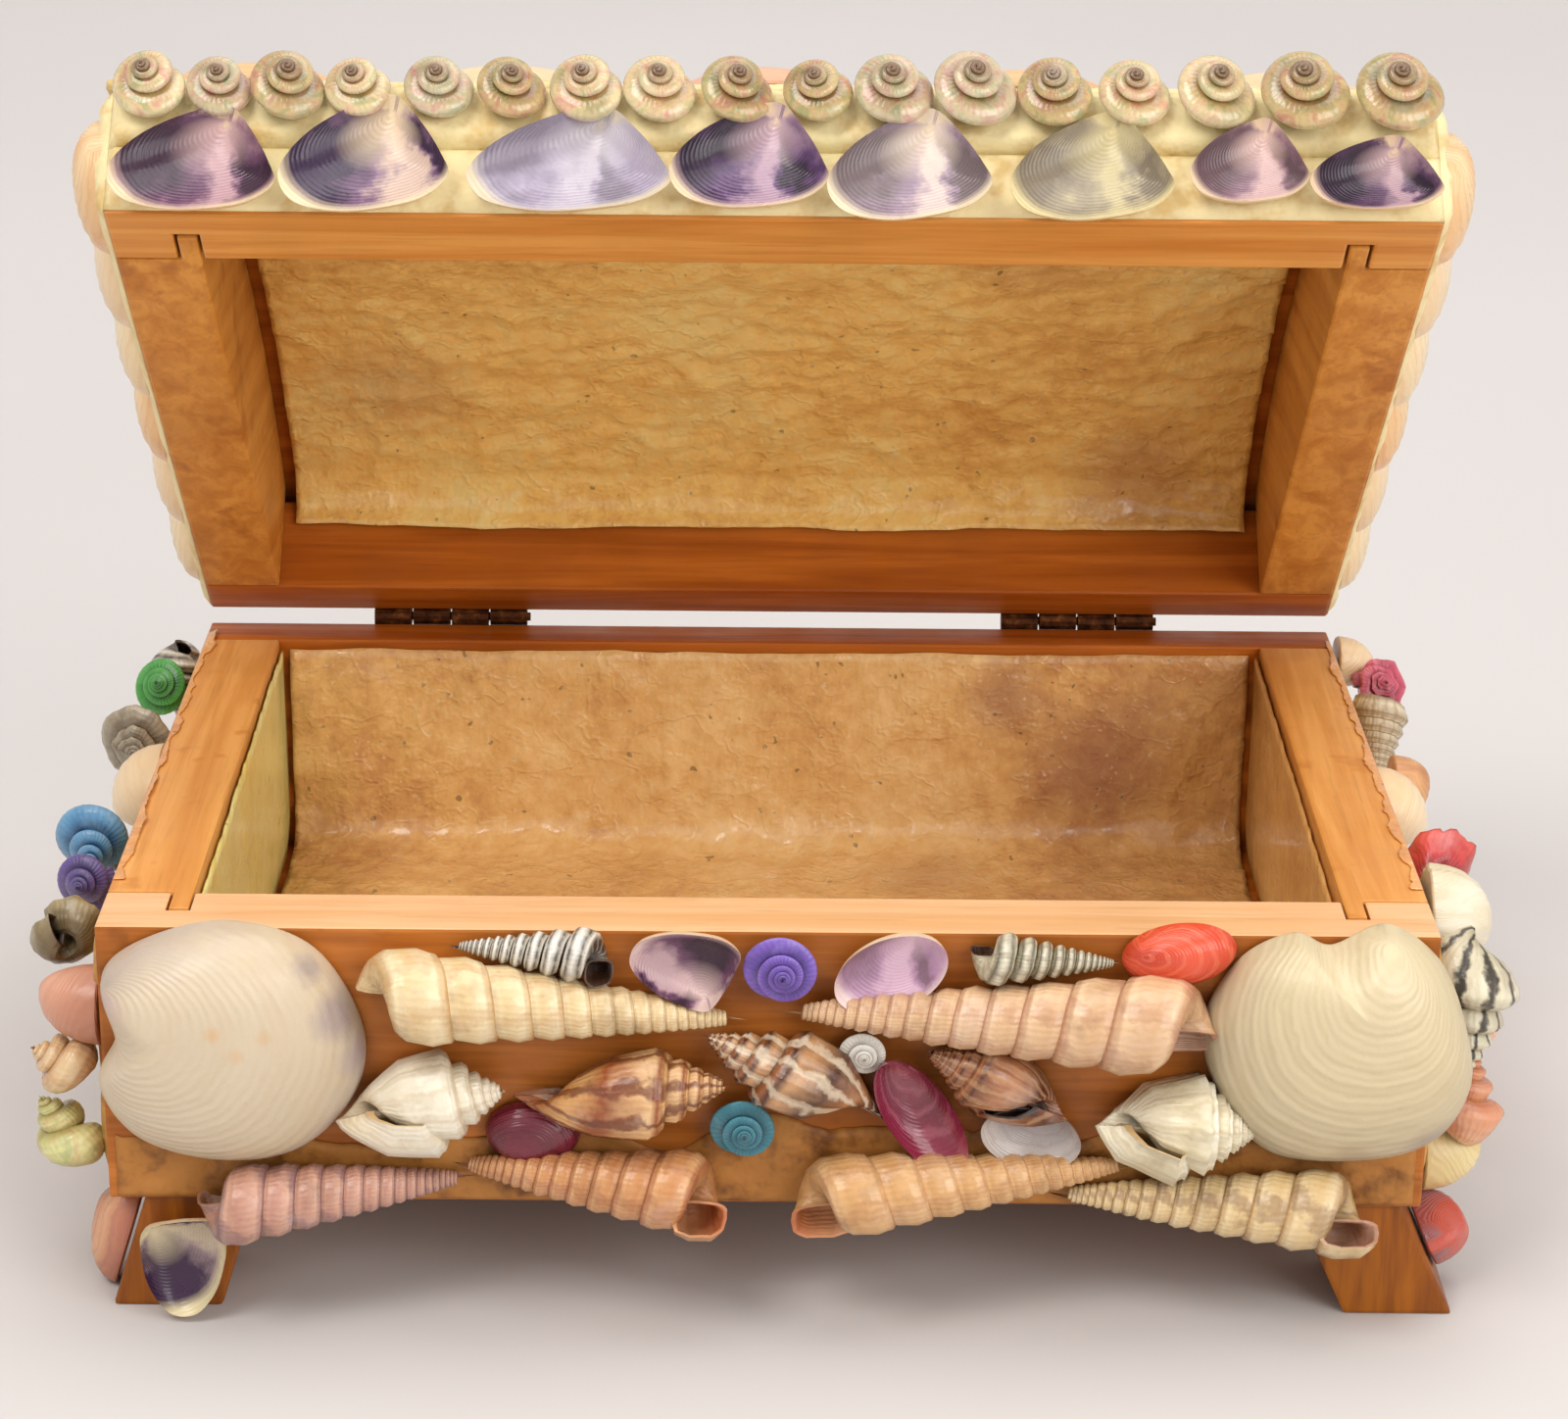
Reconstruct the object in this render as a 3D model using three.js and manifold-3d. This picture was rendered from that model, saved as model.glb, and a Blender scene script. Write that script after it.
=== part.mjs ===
// Small footed wooden box with a hinged barrel-topped lid, covered with glued sea shells.
// Millimetres, +Z up, +X to the right and -Y to the front. The lid stands open.
import * as THREE from 'three';
import { mergeVertices } from 'three/addons/utils/BufferGeometryUtils.js';
import { ConvexGeometry } from 'three/addons/geometries/ConvexGeometry.js';
import Module from 'manifold-3d';

const wasm = await Module();
wasm.setup();

// Box of boards
const W = 142; // full width
const D = 93.5; // full depth
const H = 45.2; // height of the rim
const FLOOR = 13; // underside of the boards, top of the feet
const T_FRONT = 9; // front board and lid front rail
const T_BACK = 6; // back board and lid back rail
const T_END = 9.3; // end boards of the box and the lid
const T_BOTTOM = 4.2;
const FIT = 0.15; // glue line between boards
const GAP = 0.3; // space between a shell and what it sits on
const SKIN = 0.35; // paper linings and cards

// Corner joint: a tongue of the end board in a groove of the front board
const TONGUE = 2.2; // thickness across X
const TONGUE_LEN = 4.2;

// Feet
const FOOT_W = 11.9;
const FOOT_D = 12;
const LEAN_LEFT = 4; // how far a left foot's sole stands out beyond its top
const LEAN_RIGHT = 6; // and a right foot's
const FOOT_LEAN_Y = 0.9;

// Lid
const RIM_GAP = 0.8; // between the two rims when shut
const LID_WALL = 12.5; // height of the lid's rails
const RISE = 7; // rise of the barrel above the rails
const ROOF = 3; // thickness of the roof
const OPEN_DEG = 46.3; // the lid stands open by this much
const PLASTER = 1.2; // bed that the lid's shells are set in
const GLUE = 0.8; // bed of glue on the box's ends and back

// Hinges
const PIN_Y = D / 2 + 1.35;
const PIN_Z = H + 0.6;
const PIN_R = 0.55;
const BORE_R = 0.66;
const KNUCKLE_R = 1.2;
const KNUCKLES = 4;
const LEAF_W = 19.6;
const LEAF_T = 0.5;
const LEAF_H = 6.4;
const LEFT_HINGE_X = -W / 2 + 20.6 + LEAF_W / 2;
const RIGHT_HINGE_X = W / 2 - 22 - LEAF_W / 2;

const LID_Z = H + RIM_GAP; // the lid's rim plane when shut
const SHELL_TOP = H + 1.4; // the front shells may stand this high
const END_TOP = H - GAP; // and those of the ends this high
const CLAM_HANG = 2.4; // the lid's front clams hang this far below its rim
const rad = THREE.MathUtils.degToRad;

// The shells were laid out on boards of these sizes, and follow the boards when they change.
const ACROSS = W / 142;
const DEEP = D / 93.5;
const UPRIGHT = (H - FLOOR) / 32.2;
const SIZE = Math.min(ACROSS, UPRIGHT);
const spot = ([x, z]) => [x * ACROSS, FLOOR + (z - FLOOR) * UPRIGHT];
const endSpot = (y, z) => [y * DEEP, FLOOR + (z - FLOOR) * UPRIGHT];

// Solids.

// Closed skin over rings of equal count, ended by a point at each side.
function loft(rings, tipA, tipB) {
  const n = rings[0].length;
  const pos = rings.flat().concat([tipA, tipB]).flat();
  const a = rings.length * n;
  const idx = [];
  for (let j = 0; j < n; j++) {
    const k = (j + 1) % n;
    idx.push(a, k, j);
    for (let i = 0; i + 1 < rings.length; i++) {
      const p = i * n;
      const q = p + n;
      idx.push(p + j, p + k, q + k, p + j, q + k, q + j);
    }
    const last = (rings.length - 1) * n;
    idx.push(a + 1, last + j, last + k);
  }
  return indexed(pos, idx);
}

function indexed(pos, idx) {
  const g = new THREE.BufferGeometry();
  g.setAttribute('position', new THREE.Float32BufferAttribute(pos, 3));
  g.setIndex(idx);
  return g;
}

// Six times the signed volume tells which way the faces look.
function volume(pos, idx) {
  let v = 0;
  for (let i = 0; i < idx.length; i += 3) {
    const [a, b, c] = [idx[i] * 3, idx[i + 1] * 3, idx[i + 2] * 3];
    v += pos[a] * (pos[b + 1] * pos[c + 2] - pos[b + 2] * pos[c + 1]);
    v += pos[a + 1] * (pos[b + 2] * pos[c] - pos[b] * pos[c + 2]);
    v += pos[a + 2] * (pos[b] * pos[c + 1] - pos[b + 1] * pos[c]);
  }
  return v;
}

function solid(geometry) {
  let g = geometry.clone();
  g.deleteAttribute('normal');
  g.deleteAttribute('uv');
  g = mergeVertices(g, 1e-4);
  const p = g.attributes.position.array;
  const t = Uint32Array.from(g.index.array);
  if (volume(p, t) < 0) {
    for (let i = 0; i < t.length; i += 3) [t[i + 1], t[i + 2]] = [t[i + 2], t[i + 1]];
  }
  const mesh = new wasm.Mesh({ numProp: 3, vertProperties: Float32Array.from(p), triVerts: t });
  return new wasm.Manifold(mesh);
}

function geometryOf(shape) {
  const m = shape.getMesh();
  return indexed(Array.from(m.vertProperties), Array.from(m.triVerts));
}

const join = (list) => list.reduce((a, b) => a.add(b));
const largest = (s) => s.decompose().sort((a, b) => b.volume() - a.volume())[0];

// The space a shell takes up: its convex outline, pushed out by a gap.
function spaceOf(s, gap) {
  const p = geometryOf(s).attributes.position;
  const points = [];
  for (let i = 0; i < p.count; i++) points.push(new THREE.Vector3().fromBufferAttribute(p, i));
  const mid = points.reduce((a, b) => a.add(b), new THREE.Vector3()).divideScalar(points.length);
  const reach = points.map((q) => {
    const d = q.clone().sub(mid);
    return q.clone().add(d.normalize().multiplyScalar(gap * 1.6));
  });
  return solid(new ConvexGeometry(reach));
}

const apart = (a, b) => [0, 1, 2].some((i) => a.max[i] < b.min[i] || b.max[i] < a.min[i]);

// Cuts each solid of a list clear of those before it.
function cutClear(list, gap) {
  for (let i = 1; i < list.length; i++) {
    for (let j = 0; j < i; j++) {
      const tool = spaceOf(list[j].body, gap);
      if (apart(tool.boundingBox(), list[i].body.boundingBox())) continue;
      list[i].body = largest(list[i].body.subtract(tool));
    }
  }
}

function block(x0, x1, y0, y1, z0, z1) {
  const g = new THREE.BoxGeometry(x1 - x0, y1 - y0, z1 - z0);
  g.translate((x0 + x1) / 2, (y0 + y1) / 2, (z0 + z1) / 2);
  return g;
}

const box = (...a) => solid(block(...a));

// A Y-Z outline drawn out along X.
function alongX(points, x0, x1) {
  const shape = new THREE.Shape(points.map(([y, z]) => new THREE.Vector2(y, z)));
  const g = new THREE.ExtrudeGeometry(shape, { depth: x1 - x0, bevelEnabled: false });
  const m = new THREE.Matrix4().makeBasis(
    new THREE.Vector3(0, 1, 0), new THREE.Vector3(0, 0, 1), new THREE.Vector3(1, 0, 0));
  g.applyMatrix4(m);
  g.translate(x0, 0, 0);
  return g;
}

function rodX(radius, x0, x1, y, z, sides) {
  const g = new THREE.CylinderGeometry(radius, radius, x1 - x0, sides);
  g.rotateZ(Math.PI / 2);
  g.translate((x0 + x1) / 2, y, z);
  return solid(g);
}

// Panels that carry shells: u and v lie in the panel, w stands out of it.

function panel(origin, u, v) {
  const U = new THREE.Vector3(...u);
  const V = new THREE.Vector3(...v);
  const m = new THREE.Matrix4().makeBasis(U, V, new THREE.Vector3().crossVectors(U, V));
  return m.setPosition(...origin);
}

const FRONT = panel([0, -D / 2, 0], [1, 0, 0], [0, 0, 1]);
const LEFT = panel([-W / 2, 0, 0], [0, -1, 0], [0, 0, 1]);
const RIGHT = panel([W / 2, 0, 0], [0, 1, 0], [0, 0, 1]);
const BACK = panel([0, D / 2, 0], [-1, 0, 0], [0, 0, 1]);

// Shells.

// Outlines in a unit square, beak upwards.
const WEDGE = [[0.17, 0.5], [-0.05, 0.42], [-0.3, 0.22], [-0.46, -0.02], [-0.5, -0.22], [-0.4, -0.42],
  [-0.15, -0.5], [0.12, -0.47], [0.36, -0.38], [0.5, -0.2], [0.46, -0.02], [0.34, 0.25]];
const WEDGE_FLIPPED = WEDGE.map(([x, y]) => [-x, y]);
const CLAM_LEFT = [[-0.46, 0.28], [-0.28, 0.43], [0.02, 0.5], [0.32, 0.39], [0.49, 0.07], [0.46, -0.22],
  [0.25, -0.45], [-0.05, -0.5], [-0.35, -0.4], [-0.49, -0.17], [-0.42, 0.03]];
const CLAM_RIGHT = [[0.16, 0.5], [0.36, 0.35], [0.47, 0.08], [0.5, -0.17], [0.38, -0.4], [0.13, -0.49],
  [-0.22, -0.46], [-0.42, -0.23], [-0.49, 0.08], [-0.37, 0.35], [-0.18, 0.46], [-0.04, 0.41]];

function oval(n) {
  const out = [];
  for (let i = 0; i < n; i++) {
    const a = (2 * Math.PI * i) / n + Math.PI / 2;
    out.push([0.5 * Math.cos(a) * (1 - 0.18 * Math.max(0, Math.sin(a))), 0.5 * Math.sin(a)]);
  }
  return out;
}

// One valve. A domed one shows its outside, a dished one its hollow inside.
function valve({ outline = oval(9), width, height, deep, dished = false, plain = false, beak = [0, 0.3], thick = 0.6 }) {
  const pts = outline.map(([x, y]) => [x * width, y * height]);
  const ring = (s, w) => {
    const cx = beak[0] * width * (1 - s);
    const cy = beak[1] * height * (1 - s);
    return pts.map(([x, y]) => [x * s + cx, y * s + cy, w]);
  };
  if (dished) {
    const floor = 0.25 * deep + thick;
    return loft(
      [ring(0.5, 0.05 * deep), ring(1, deep - thick), ring(0.93, deep), ring(0.5, floor)],
      [beak[0] * width * 0.6, beak[1] * height * 0.6, 0],
      [beak[0] * width * 0.6, beak[1] * height * 0.6, floor - 0.15 * deep]);
  }
  const low = plain ? [ring(1, 0)] : [ring(1, 0), ring(1, thick)];
  return loft(
    [...low, ring(0.74, deep * 0.72), ring(0.36, deep * 0.97)],
    [0, 0, 0],
    [beak[0] * width * 0.8, beak[1] * height * 0.8, deep]);
}

// A coiled shell: two helical lines, the crest of the whorl and the seam between whorls.
function spire({ length, radius, turns = 6, seg = 7, step = 1.3, pinch = 0.84, mouth = 0.6, hand = 1 }) {
  const last = Math.round(turns * seg);
  const pos = [];
  const line = (factor, r) => {
    for (let k = 0; k <= last; k++) {
      const g = factor * step ** ((k - last) / seg);
      const a = (hand * 2 * Math.PI * k) / seg;
      pos.push(length * (1 - g), radius * r * g * Math.cos(a), radius * r * g * Math.sin(a));
    }
  };
  line(1 / Math.sqrt(step), pinch * Math.sqrt(step) * 0.96);
  line(1, 1);
  pos.push(length, 0, 0, -mouth * radius, 0, 0);
  const C = last + 1;
  const tip = 2 * last + 2;
  const cap = tip + 1;
  const idx = [];
  for (let k = 0; k < last; k++) idx.push(k, k + 1, C + k + 1, k, C + k + 1, C + k);
  for (let k = 0; k < last - seg; k++) {
    const s = k + seg;
    idx.push(C + k, C + k + 1, s + 1, C + k, s + 1, s);
  }
  for (let k = 0; k < seg; k++) idx.push(tip, k + 1, k);
  idx.push(tip, 0, C, tip, C, seg);
  for (let k = last - seg; k < last; k++) idx.push(cap, C + k, C + k + 1);
  idx.push(cap, C + last, last, cap, last, C + last - seg);
  return indexed(pos, idx);
}

// A whelk: short spire, full body and a drawn-out canal, as a solid turned about X.
const WHELK = [[0.03, 0.16], [0.16, 0.46], [0.34, 0.9], [0.5, 1], [0.62, 0.8], [0.66, 0.62], [0.76, 0.56],
  [0.8, 0.38], [0.9, 0.26]];

function whelk({ length, radius, seg = 8 }) {
  const rings = WHELK.map(([x, r]) => {
    const out = [];
    for (let i = 0; i < seg; i++) {
      const a = (2 * Math.PI * i) / seg;
      out.push([x * length, r * radius * Math.cos(a), r * radius * Math.sin(a)]);
    }
    return out;
  });
  return loft(rings, [0, 0, 0], [length, 0, 0]);
}

// Lays a valve on a panel.
function layValve(P, [u, v, w], deg, opts) {
  const g = valve(opts);
  g.rotateZ(rad(deg));
  g.translate(u, v, w);
  g.applyMatrix4(P);
  return solid(g);
}

// Lays a long shell on a panel between two points, each given with its distance from the panel.
// The side that meets the panel is cut flat, and a mouth is hollowed out where it shows.
function layLong(P, make, from, to, opts) {
  const a = new THREE.Vector3(...from);
  const x = new THREE.Vector3(...to).sub(a);
  const length = x.length();
  x.normalize();
  const y = new THREE.Vector3(0, 0, 1).cross(x).normalize();
  const z = new THREE.Vector3().crossVectors(x, y);
  const m = new THREE.Matrix4().makeBasis(x, y, z).setPosition(a);
  const r = opts.radius;
  let s = solid(make({ ...opts, length }).applyMatrix4(m));
  if (opts.hollow) {
    const [along, across, turn] = opts.hollow;
    const h = new THREE.SphereGeometry(1, 6, 4);
    h.scale(0.55 * r, 0.36 * r, 0.6 * r);
    h.rotateZ(rad(turn));
    h.translate(along * r, across * r, 0.85 * r);
    s = s.subtract(solid(h.applyMatrix4(m)));
  }
  const far = 200;
  const cut = block(-far, far, -far, far, -far, opts.seat ?? GAP);
  s = largest(s.subtract(solid(cut)));
  return solid(geometryOf(s).applyMatrix4(P));
}

// A button shell: a low dome.
function button(P, u, v, r, seat) {
  const ring = (f, w) => {
    const out = [];
    for (let i = 0; i < 8; i++) {
      const a = (Math.PI * i) / 4 + 0.3;
      out.push([u + f * r * Math.cos(a), v + f * r * Math.sin(a), seat + w * r]);
    }
    return out;
  };
  const g = loft([ring(1, 0.1), ring(0.66, 0.8)], [u, v, seat], [u, v, seat + 1.08 * r]);
  return solid(g.applyMatrix4(P));
}

// The object.

const model = new THREE.Group();
const boxGroup = new THREE.Group();
const lidGroup = new THREE.Group();
lidGroup.position.set(0, PIN_Y, PIN_Z);
lidGroup.rotation.x = -rad(OPEN_DEG);
model.add(boxGroup, lidGroup);

function node(name, geometry, color, roughness = 0.6, metalness = 0) {
  const mesh = new THREE.Mesh(geometry, new THREE.MeshStandardMaterial({ color, roughness, metalness }));
  mesh.name = name;
  boxGroup.add(mesh);
}

// Lid pieces are drawn shut, then handed to the group that turns about the hinge pins.
function lidNode(name, geometry, color, roughness = 0.6, metalness = 0) {
  node(name, geometry.clone().translate(0, -PIN_Y, -PIN_Z), color, roughness, metalness);
  lidGroup.add(boxGroup.children[boxGroup.children.length - 1]);
}

const WOOD = 0xd98f45;
const RIM_WOOD = 0xdf9a50;
const PAPER = 0xc69a5c;
const METAL = 0x4a2c18;
const CREAM = 0xeee3c4;
const SHELL = 0xf0d9b0;
const PLASTER_COLOR = 0xf2e2a8;

// Boards and their corner joints, for the box and for the lid.
const xIn = W / 2 - T_END;
const yFrontIn = -D / 2 + T_FRONT;
const yBackIn = D / 2 - T_BACK;

function frontBoard(z0, z1, t) {
  let s = box(-W / 2, W / 2, -D / 2, yFrontIn, z0, z1);
  for (const side of [-1, 1]) {
    const a = side * (xIn - t);
    const b = side * (xIn + TONGUE + t);
    s = s.subtract(box(Math.min(a, b), Math.max(a, b), yFrontIn - TONGUE_LEN - 2 * t, yFrontIn + 1, z0 - 1, z1 + 1));
  }
  return s;
}

function tongue(side, z0, z1, t) {
  const a = side * xIn;
  const b = side * (xIn + TONGUE);
  return box(Math.min(a, b), Math.max(a, b), yFrontIn - TONGUE_LEN, yFrontIn + 2, z0, z1);
}

function endBoard(side, z0, z1, t) {
  const a = side * xIn;
  const b = (side * W) / 2;
  const main = box(Math.min(a, b), Math.max(a, b), yFrontIn + t, yBackIn - t, z0, z1);
  return main.add(tongue(side, z0, z1, t));
}

node('front_board', geometryOf(frontBoard(FLOOR, H, FIT)), WOOD);
node('back_board', block(-W / 2, W / 2, yBackIn, D / 2, FLOOR, H), WOOD);
node('left_board', geometryOf(endBoard(-1, FLOOR, H, FIT)), RIM_WOOD);
node('right_board', geometryOf(endBoard(1, FLOOR, H, FIT)), RIM_WOOD);
const floorTop = FLOOR + T_BOTTOM;
node('bottom_board', block(-xIn + FIT, xIn - FIT, yFrontIn + FIT, yBackIn - FIT, FLOOR, floorTop), WOOD);

// Feet lean outwards and a little forwards or backwards.
function foot(x0, sideX, sideY) {
  const y0 = sideY < 0 ? -D / 2 + 0.5 : D / 2 - 0.5 - FOOT_D;
  const quad = (dx, dy, z) => [[0, 0], [1, 0], [1, 1], [0, 1]].map(
    ([a, b]) => [x0 + a * FOOT_W + dx, y0 + b * FOOT_D + dy, z]);
  const top = quad(0, 0, FLOOR);
  const sole = quad(sideX < 0 ? -LEAN_LEFT : LEAN_RIGHT, sideY * FOOT_LEAN_Y, 0);
  const mid = (q) => [(q[0][0] + q[2][0]) / 2, (q[0][1] + q[2][1]) / 2, q[0][2]];
  return loft([sole, top], mid(sole), mid(top));
}

const LEFT_FOOT_X = -W / 2 + 3.8;
const RIGHT_FOOT_X = W / 2 - 1.8 - FOOT_W;
node('foot_front_left', foot(LEFT_FOOT_X, -1, -1), WOOD);
node('foot_front_right', foot(RIGHT_FOOT_X, 1, -1), WOOD);
node('foot_back_left', foot(LEFT_FOOT_X, -1, 1), WOOD);
node('foot_back_right', foot(RIGHT_FOOT_X, 1, 1), WOOD);

// A sheet of even thickness that follows a Y-Z line.
function sheet(line, x0, x1) {
  const pts = line.map(([y, z]) => new THREE.Vector2(y, z));
  const other = pts.map((p, i) => {
    const a = pts[Math.max(i - 1, 0)];
    const b = pts[Math.min(i + 1, pts.length - 1)];
    const t = b.clone().sub(a).normalize();
    return new THREE.Vector2(p.x - t.y * SKIN, p.y + t.x * SKIN);
  });
  const outline = pts.concat(other.reverse()).map((p) => [p.x, p.y]);
  return alongX(outline, x0, x1);
}

const LINING_TOP = H - 1.4;
const CURVE = 5;
const bend = [];
for (let i = 0; i <= 4; i++) {
  const a = rad(22.5 * i);
  bend.push([yBackIn - FIT - CURVE + CURVE * Math.cos(a), floorTop + FIT + CURVE - CURVE * Math.sin(a)]);
}
const tray = [[yFrontIn + FIT, LINING_TOP], [yFrontIn + FIT, floorTop + FIT + 1.5], [yFrontIn + FIT + 1.5, floorTop + FIT],
  ...bend.reverse(), [yBackIn - FIT, LINING_TOP]];
node('tray_lining', sheet(tray, -xIn + 1.1, xIn - 1.1), PAPER, 0.4);

// Cards on the two end walls, their top edges torn a little unevenly.
function card(side, topBack, topFront, frontFoot) {
  const y0 = yFrontIn + FIT + SKIN + GAP;
  const y1 = yBackIn - FIT - SKIN - GAP;
  const z0 = floorTop + FIT + SKIN + GAP;
  const mid = (topBack + topFront) / 2;
  const pts = [[y0 + frontFoot, z0], [y1 - CURVE, z0], [y1 - 1.4, z0 + 1.8], [y1, z0 + CURVE], [y1, topBack],
    [y1 * 0.4, mid + 0.25], [y0 * 0.3, mid - 0.3], [y0, topFront], [y0, z0 + 4.5]];
  const a = side * (xIn - FIT);
  const b = side * (xIn - FIT - SKIN);
  return alongX(pts, Math.min(a, b), Math.max(a, b));
}
node('left_end_card', card(-1, H - 1.1, H - 1.5, 0.4), 0xecc97a, 0.55);
node('right_end_card', card(1, H - 0.9, H - 2.2, 2.6), 0xd9a566, 0.55);

// Hinges: surface leaves on the two back faces, knuckles in turn on one pin.
const knuckle = LEAF_W / KNUCKLES;
function leaf(xc, upper) {
  const up = upper ? 1 : -1;
  const x0 = xc - LEAF_W / 2;
  const y0 = D / 2 + FIT;
  const near = PIN_Z + up * (KNUCKLE_R + 0.3);
  const far = PIN_Z + up * LEAF_H;
  let s = box(x0, x0 + LEAF_W, y0, y0 + LEAF_T, Math.min(near, far), Math.max(near, far));
  for (let i = 0; i < KNUCKLES; i++) {
    if ((i % 2 === 1) !== upper) continue;
    const a = x0 + i * knuckle + 0.12;
    const b = a + knuckle - 0.24;
    s = s.add(rodX(KNUCKLE_R, a, b, PIN_Y, PIN_Z, 12));
    s = s.add(box(a, b, y0, y0 + LEAF_T, Math.min(near + up, PIN_Z), Math.max(near + up, PIN_Z)));
    if (upper) s = s.subtract(rodX(BORE_R, a - 1, b + 1, PIN_Y, PIN_Z, 12));
  }
  if (!upper) s = s.add(rodX(PIN_R, x0 + 0.2, x0 + LEAF_W + 0.3, PIN_Y, PIN_Z, 10));
  return geometryOf(s);
}
node('left_hinge_lower_leaf', leaf(LEFT_HINGE_X, false), METAL, 0.5, 0.8);
node('right_hinge_lower_leaf', leaf(RIGHT_HINGE_X, false), METAL, 0.5, 0.8);
lidNode('left_hinge_upper_leaf', leaf(LEFT_HINGE_X, true), METAL, 0.5, 0.8);
lidNode('right_hinge_upper_leaf', leaf(RIGHT_HINGE_X, true), METAL, 0.5, 0.8);

// Shells on the front, laid out as x and z on the front face.

const shells = [];
const put = (name, body, color, roughness = 0.45) => shells.push({ name, body, color, roughness });
const turret = { turns: 6, seg: 7, step: 1.3, pinch: 0.82, mouth: 0.35 };

function tower(name, big, tip, r, color, extra = {}) {
  const radius = r * SIZE;
  const from = [...spot(big), radius + GAP];
  put(name, layLong(FRONT, spire, from, [...spot(tip), 1.6], { ...turret, radius, ...extra }), color);
}

function snail(name, canal, tip, r, color, extra = {}) {
  const radius = r * SIZE;
  const from = [...spot(canal), radius * 0.7];
  put(name, layLong(FRONT, whelk, from, [...spot(tip), radius * 0.6], { radius, ...extra }), color);
}

function frontValve(name, place, deg, opts, color) {
  const { width, height } = opts;
  const sized = { ...opts, width: width * SIZE, height: height * SIZE };
  put(name, layValve(FRONT, [...spot(place), GAP], deg, sized), color);
}

function frontButton(name, place, r, color) {
  put(name, button(FRONT, ...spot(place), r * SIZE, GAP), color);
}

frontValve('front_clam_left', [-57, 32.7], 0,
  { outline: CLAM_LEFT, width: 28.2, height: 27, deep: 8.6, beak: [-0.36, 0.2] }, 0xf0ead8);
frontValve('front_clam_right', [60.4, 33.3], 0,
  { outline: CLAM_RIGHT, width: 28.6, height: 27, deep: 8.6, beak: [0.1, 0.38] }, 0xece6cc);
tower('front_turritella_upper_left', [-42, 40.4], [-1.9, 35.6], 5, 0xdec39c);
tower('front_turritella_upper_right', [46, 37], [0.9, 36.8], 5.3, 0xd0ac84, { hollow: [0, 0, 0] });
frontButton('front_button_purple', [1.6, 41.9], 4.4, 0x7a5fb0);
frontValve('front_wedge_left', [-8.6, 41.9], 184,
  { outline: WEDGE_FLIPPED, width: 11.2, height: 8.9, deep: 3, dished: true, beak: [-0.1, 0.3] }, 0xc9b3c4);
frontValve('front_wedge_right', [12.9, 41.8], 206,
  { width: 13, height: 7.8, deep: 3, dished: true, beak: [0.1, 0.2] }, 0xd8c3cc);
frontValve('front_coral_valve', [43.3, 43.6], 8,
  { width: 12.8, height: 6.6, deep: 3.6 }, 0xd8583c);
tower('front_turret_left', [-15.8, 43.8], [-32.9, 44.1], 2.9, 0xb9ab98, { hollow: [0, 0, 0], turns: 5, seg: 6 });
tower('front_turret_right', [20.8, 44.1], [36.6, 42.4], 2.7, 0xa99f8c, { turns: 5, seg: 6 });
snail('front_whelk_spotted', [-27.4, 27.2], [-3.9, 28.6], 5.2, 0xc78e5a);
snail('front_whelk_frilled', [33.2, 26], [52.3, 23.6], 5.9, 0xece2c2, { hollow: [1.2, -0.1, 30] });
snail('front_whelk_white', [-47.8, 25.4], [-27.9, 27.8], 5.8, 0xe9dcbf, { hollow: [1.3, 0, 20] });
snail('front_triton', [12.8, 24.6], [-6.7, 34.3], 4.7, 0x9a6b48);
snail('front_whelk_brown', [33.4, 25], [17.1, 32.4], 4.6, 0x8a5a40, { hollow: [1.3, 0, 10] });
frontButton('front_button_teal', [-2.3, 23], 3.9, 0x3f8a93);
frontButton('front_button_white', [10.3, 31.8], 2.8, 0xd9d4c8);
tower('front_turritella_lower_1', [-61, 14.4], [-31.1, 16.8], 4.4, 0xc08a80);
tower('front_turritella_lower_2', [-4, 16.8], [-33.7, 18.2], 4.6, 0xc4946c, { hollow: [0, 0, 0] });
tower('front_turritella_lower_3', [3.6, 15.7], [40.1, 18.9], 4.5, 0xcba27a, { hollow: [-0.2, 0, 0] });
tower('front_turritella_lower_4', [65, 14.5], [30.2, 15.1], 4.6, 0xd6b98c, { hollow: [0, 0.2, 0] });
frontValve('front_rose_valve', [16.4, 25.2], -56,
  { width: 15.6, height: 6.8, deep: 3.2, dished: true, beak: [0.3, 0.2] }, 0xa8475e);
frontValve('front_grey_valve', [28.2, 22.5], -14,
  { width: 11.2, height: 6.8, deep: 2.6, dished: true }, 0xc4bdb6);
frontValve('front_magenta_valve', [-25.1, 21.8], 176,
  { width: 10.6, height: 7, deep: 2.8 }, 0x9c2c50);

// Shells on the front feet: one on the left foot's front, one on the outer side of each foot.
const soleX = (x) => Math.sign(x) * (W / 2 - 71) + x; // keeps its distance from the end
const footFront = FRONT.clone().multiply(new THREE.Matrix4().makeTranslation(0, 0, FOOT_LEAN_Y + GAP));
put('foot_shell_front_left', layValve(footFront, [soleX(-63.2), 6.7, 0], 62,
  { outline: WEDGE, width: 12, height: 9.6, deep: 2.8, dished: true, beak: [0.1, 0.3] }), 0xd8cdb8, 0.35);

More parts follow.
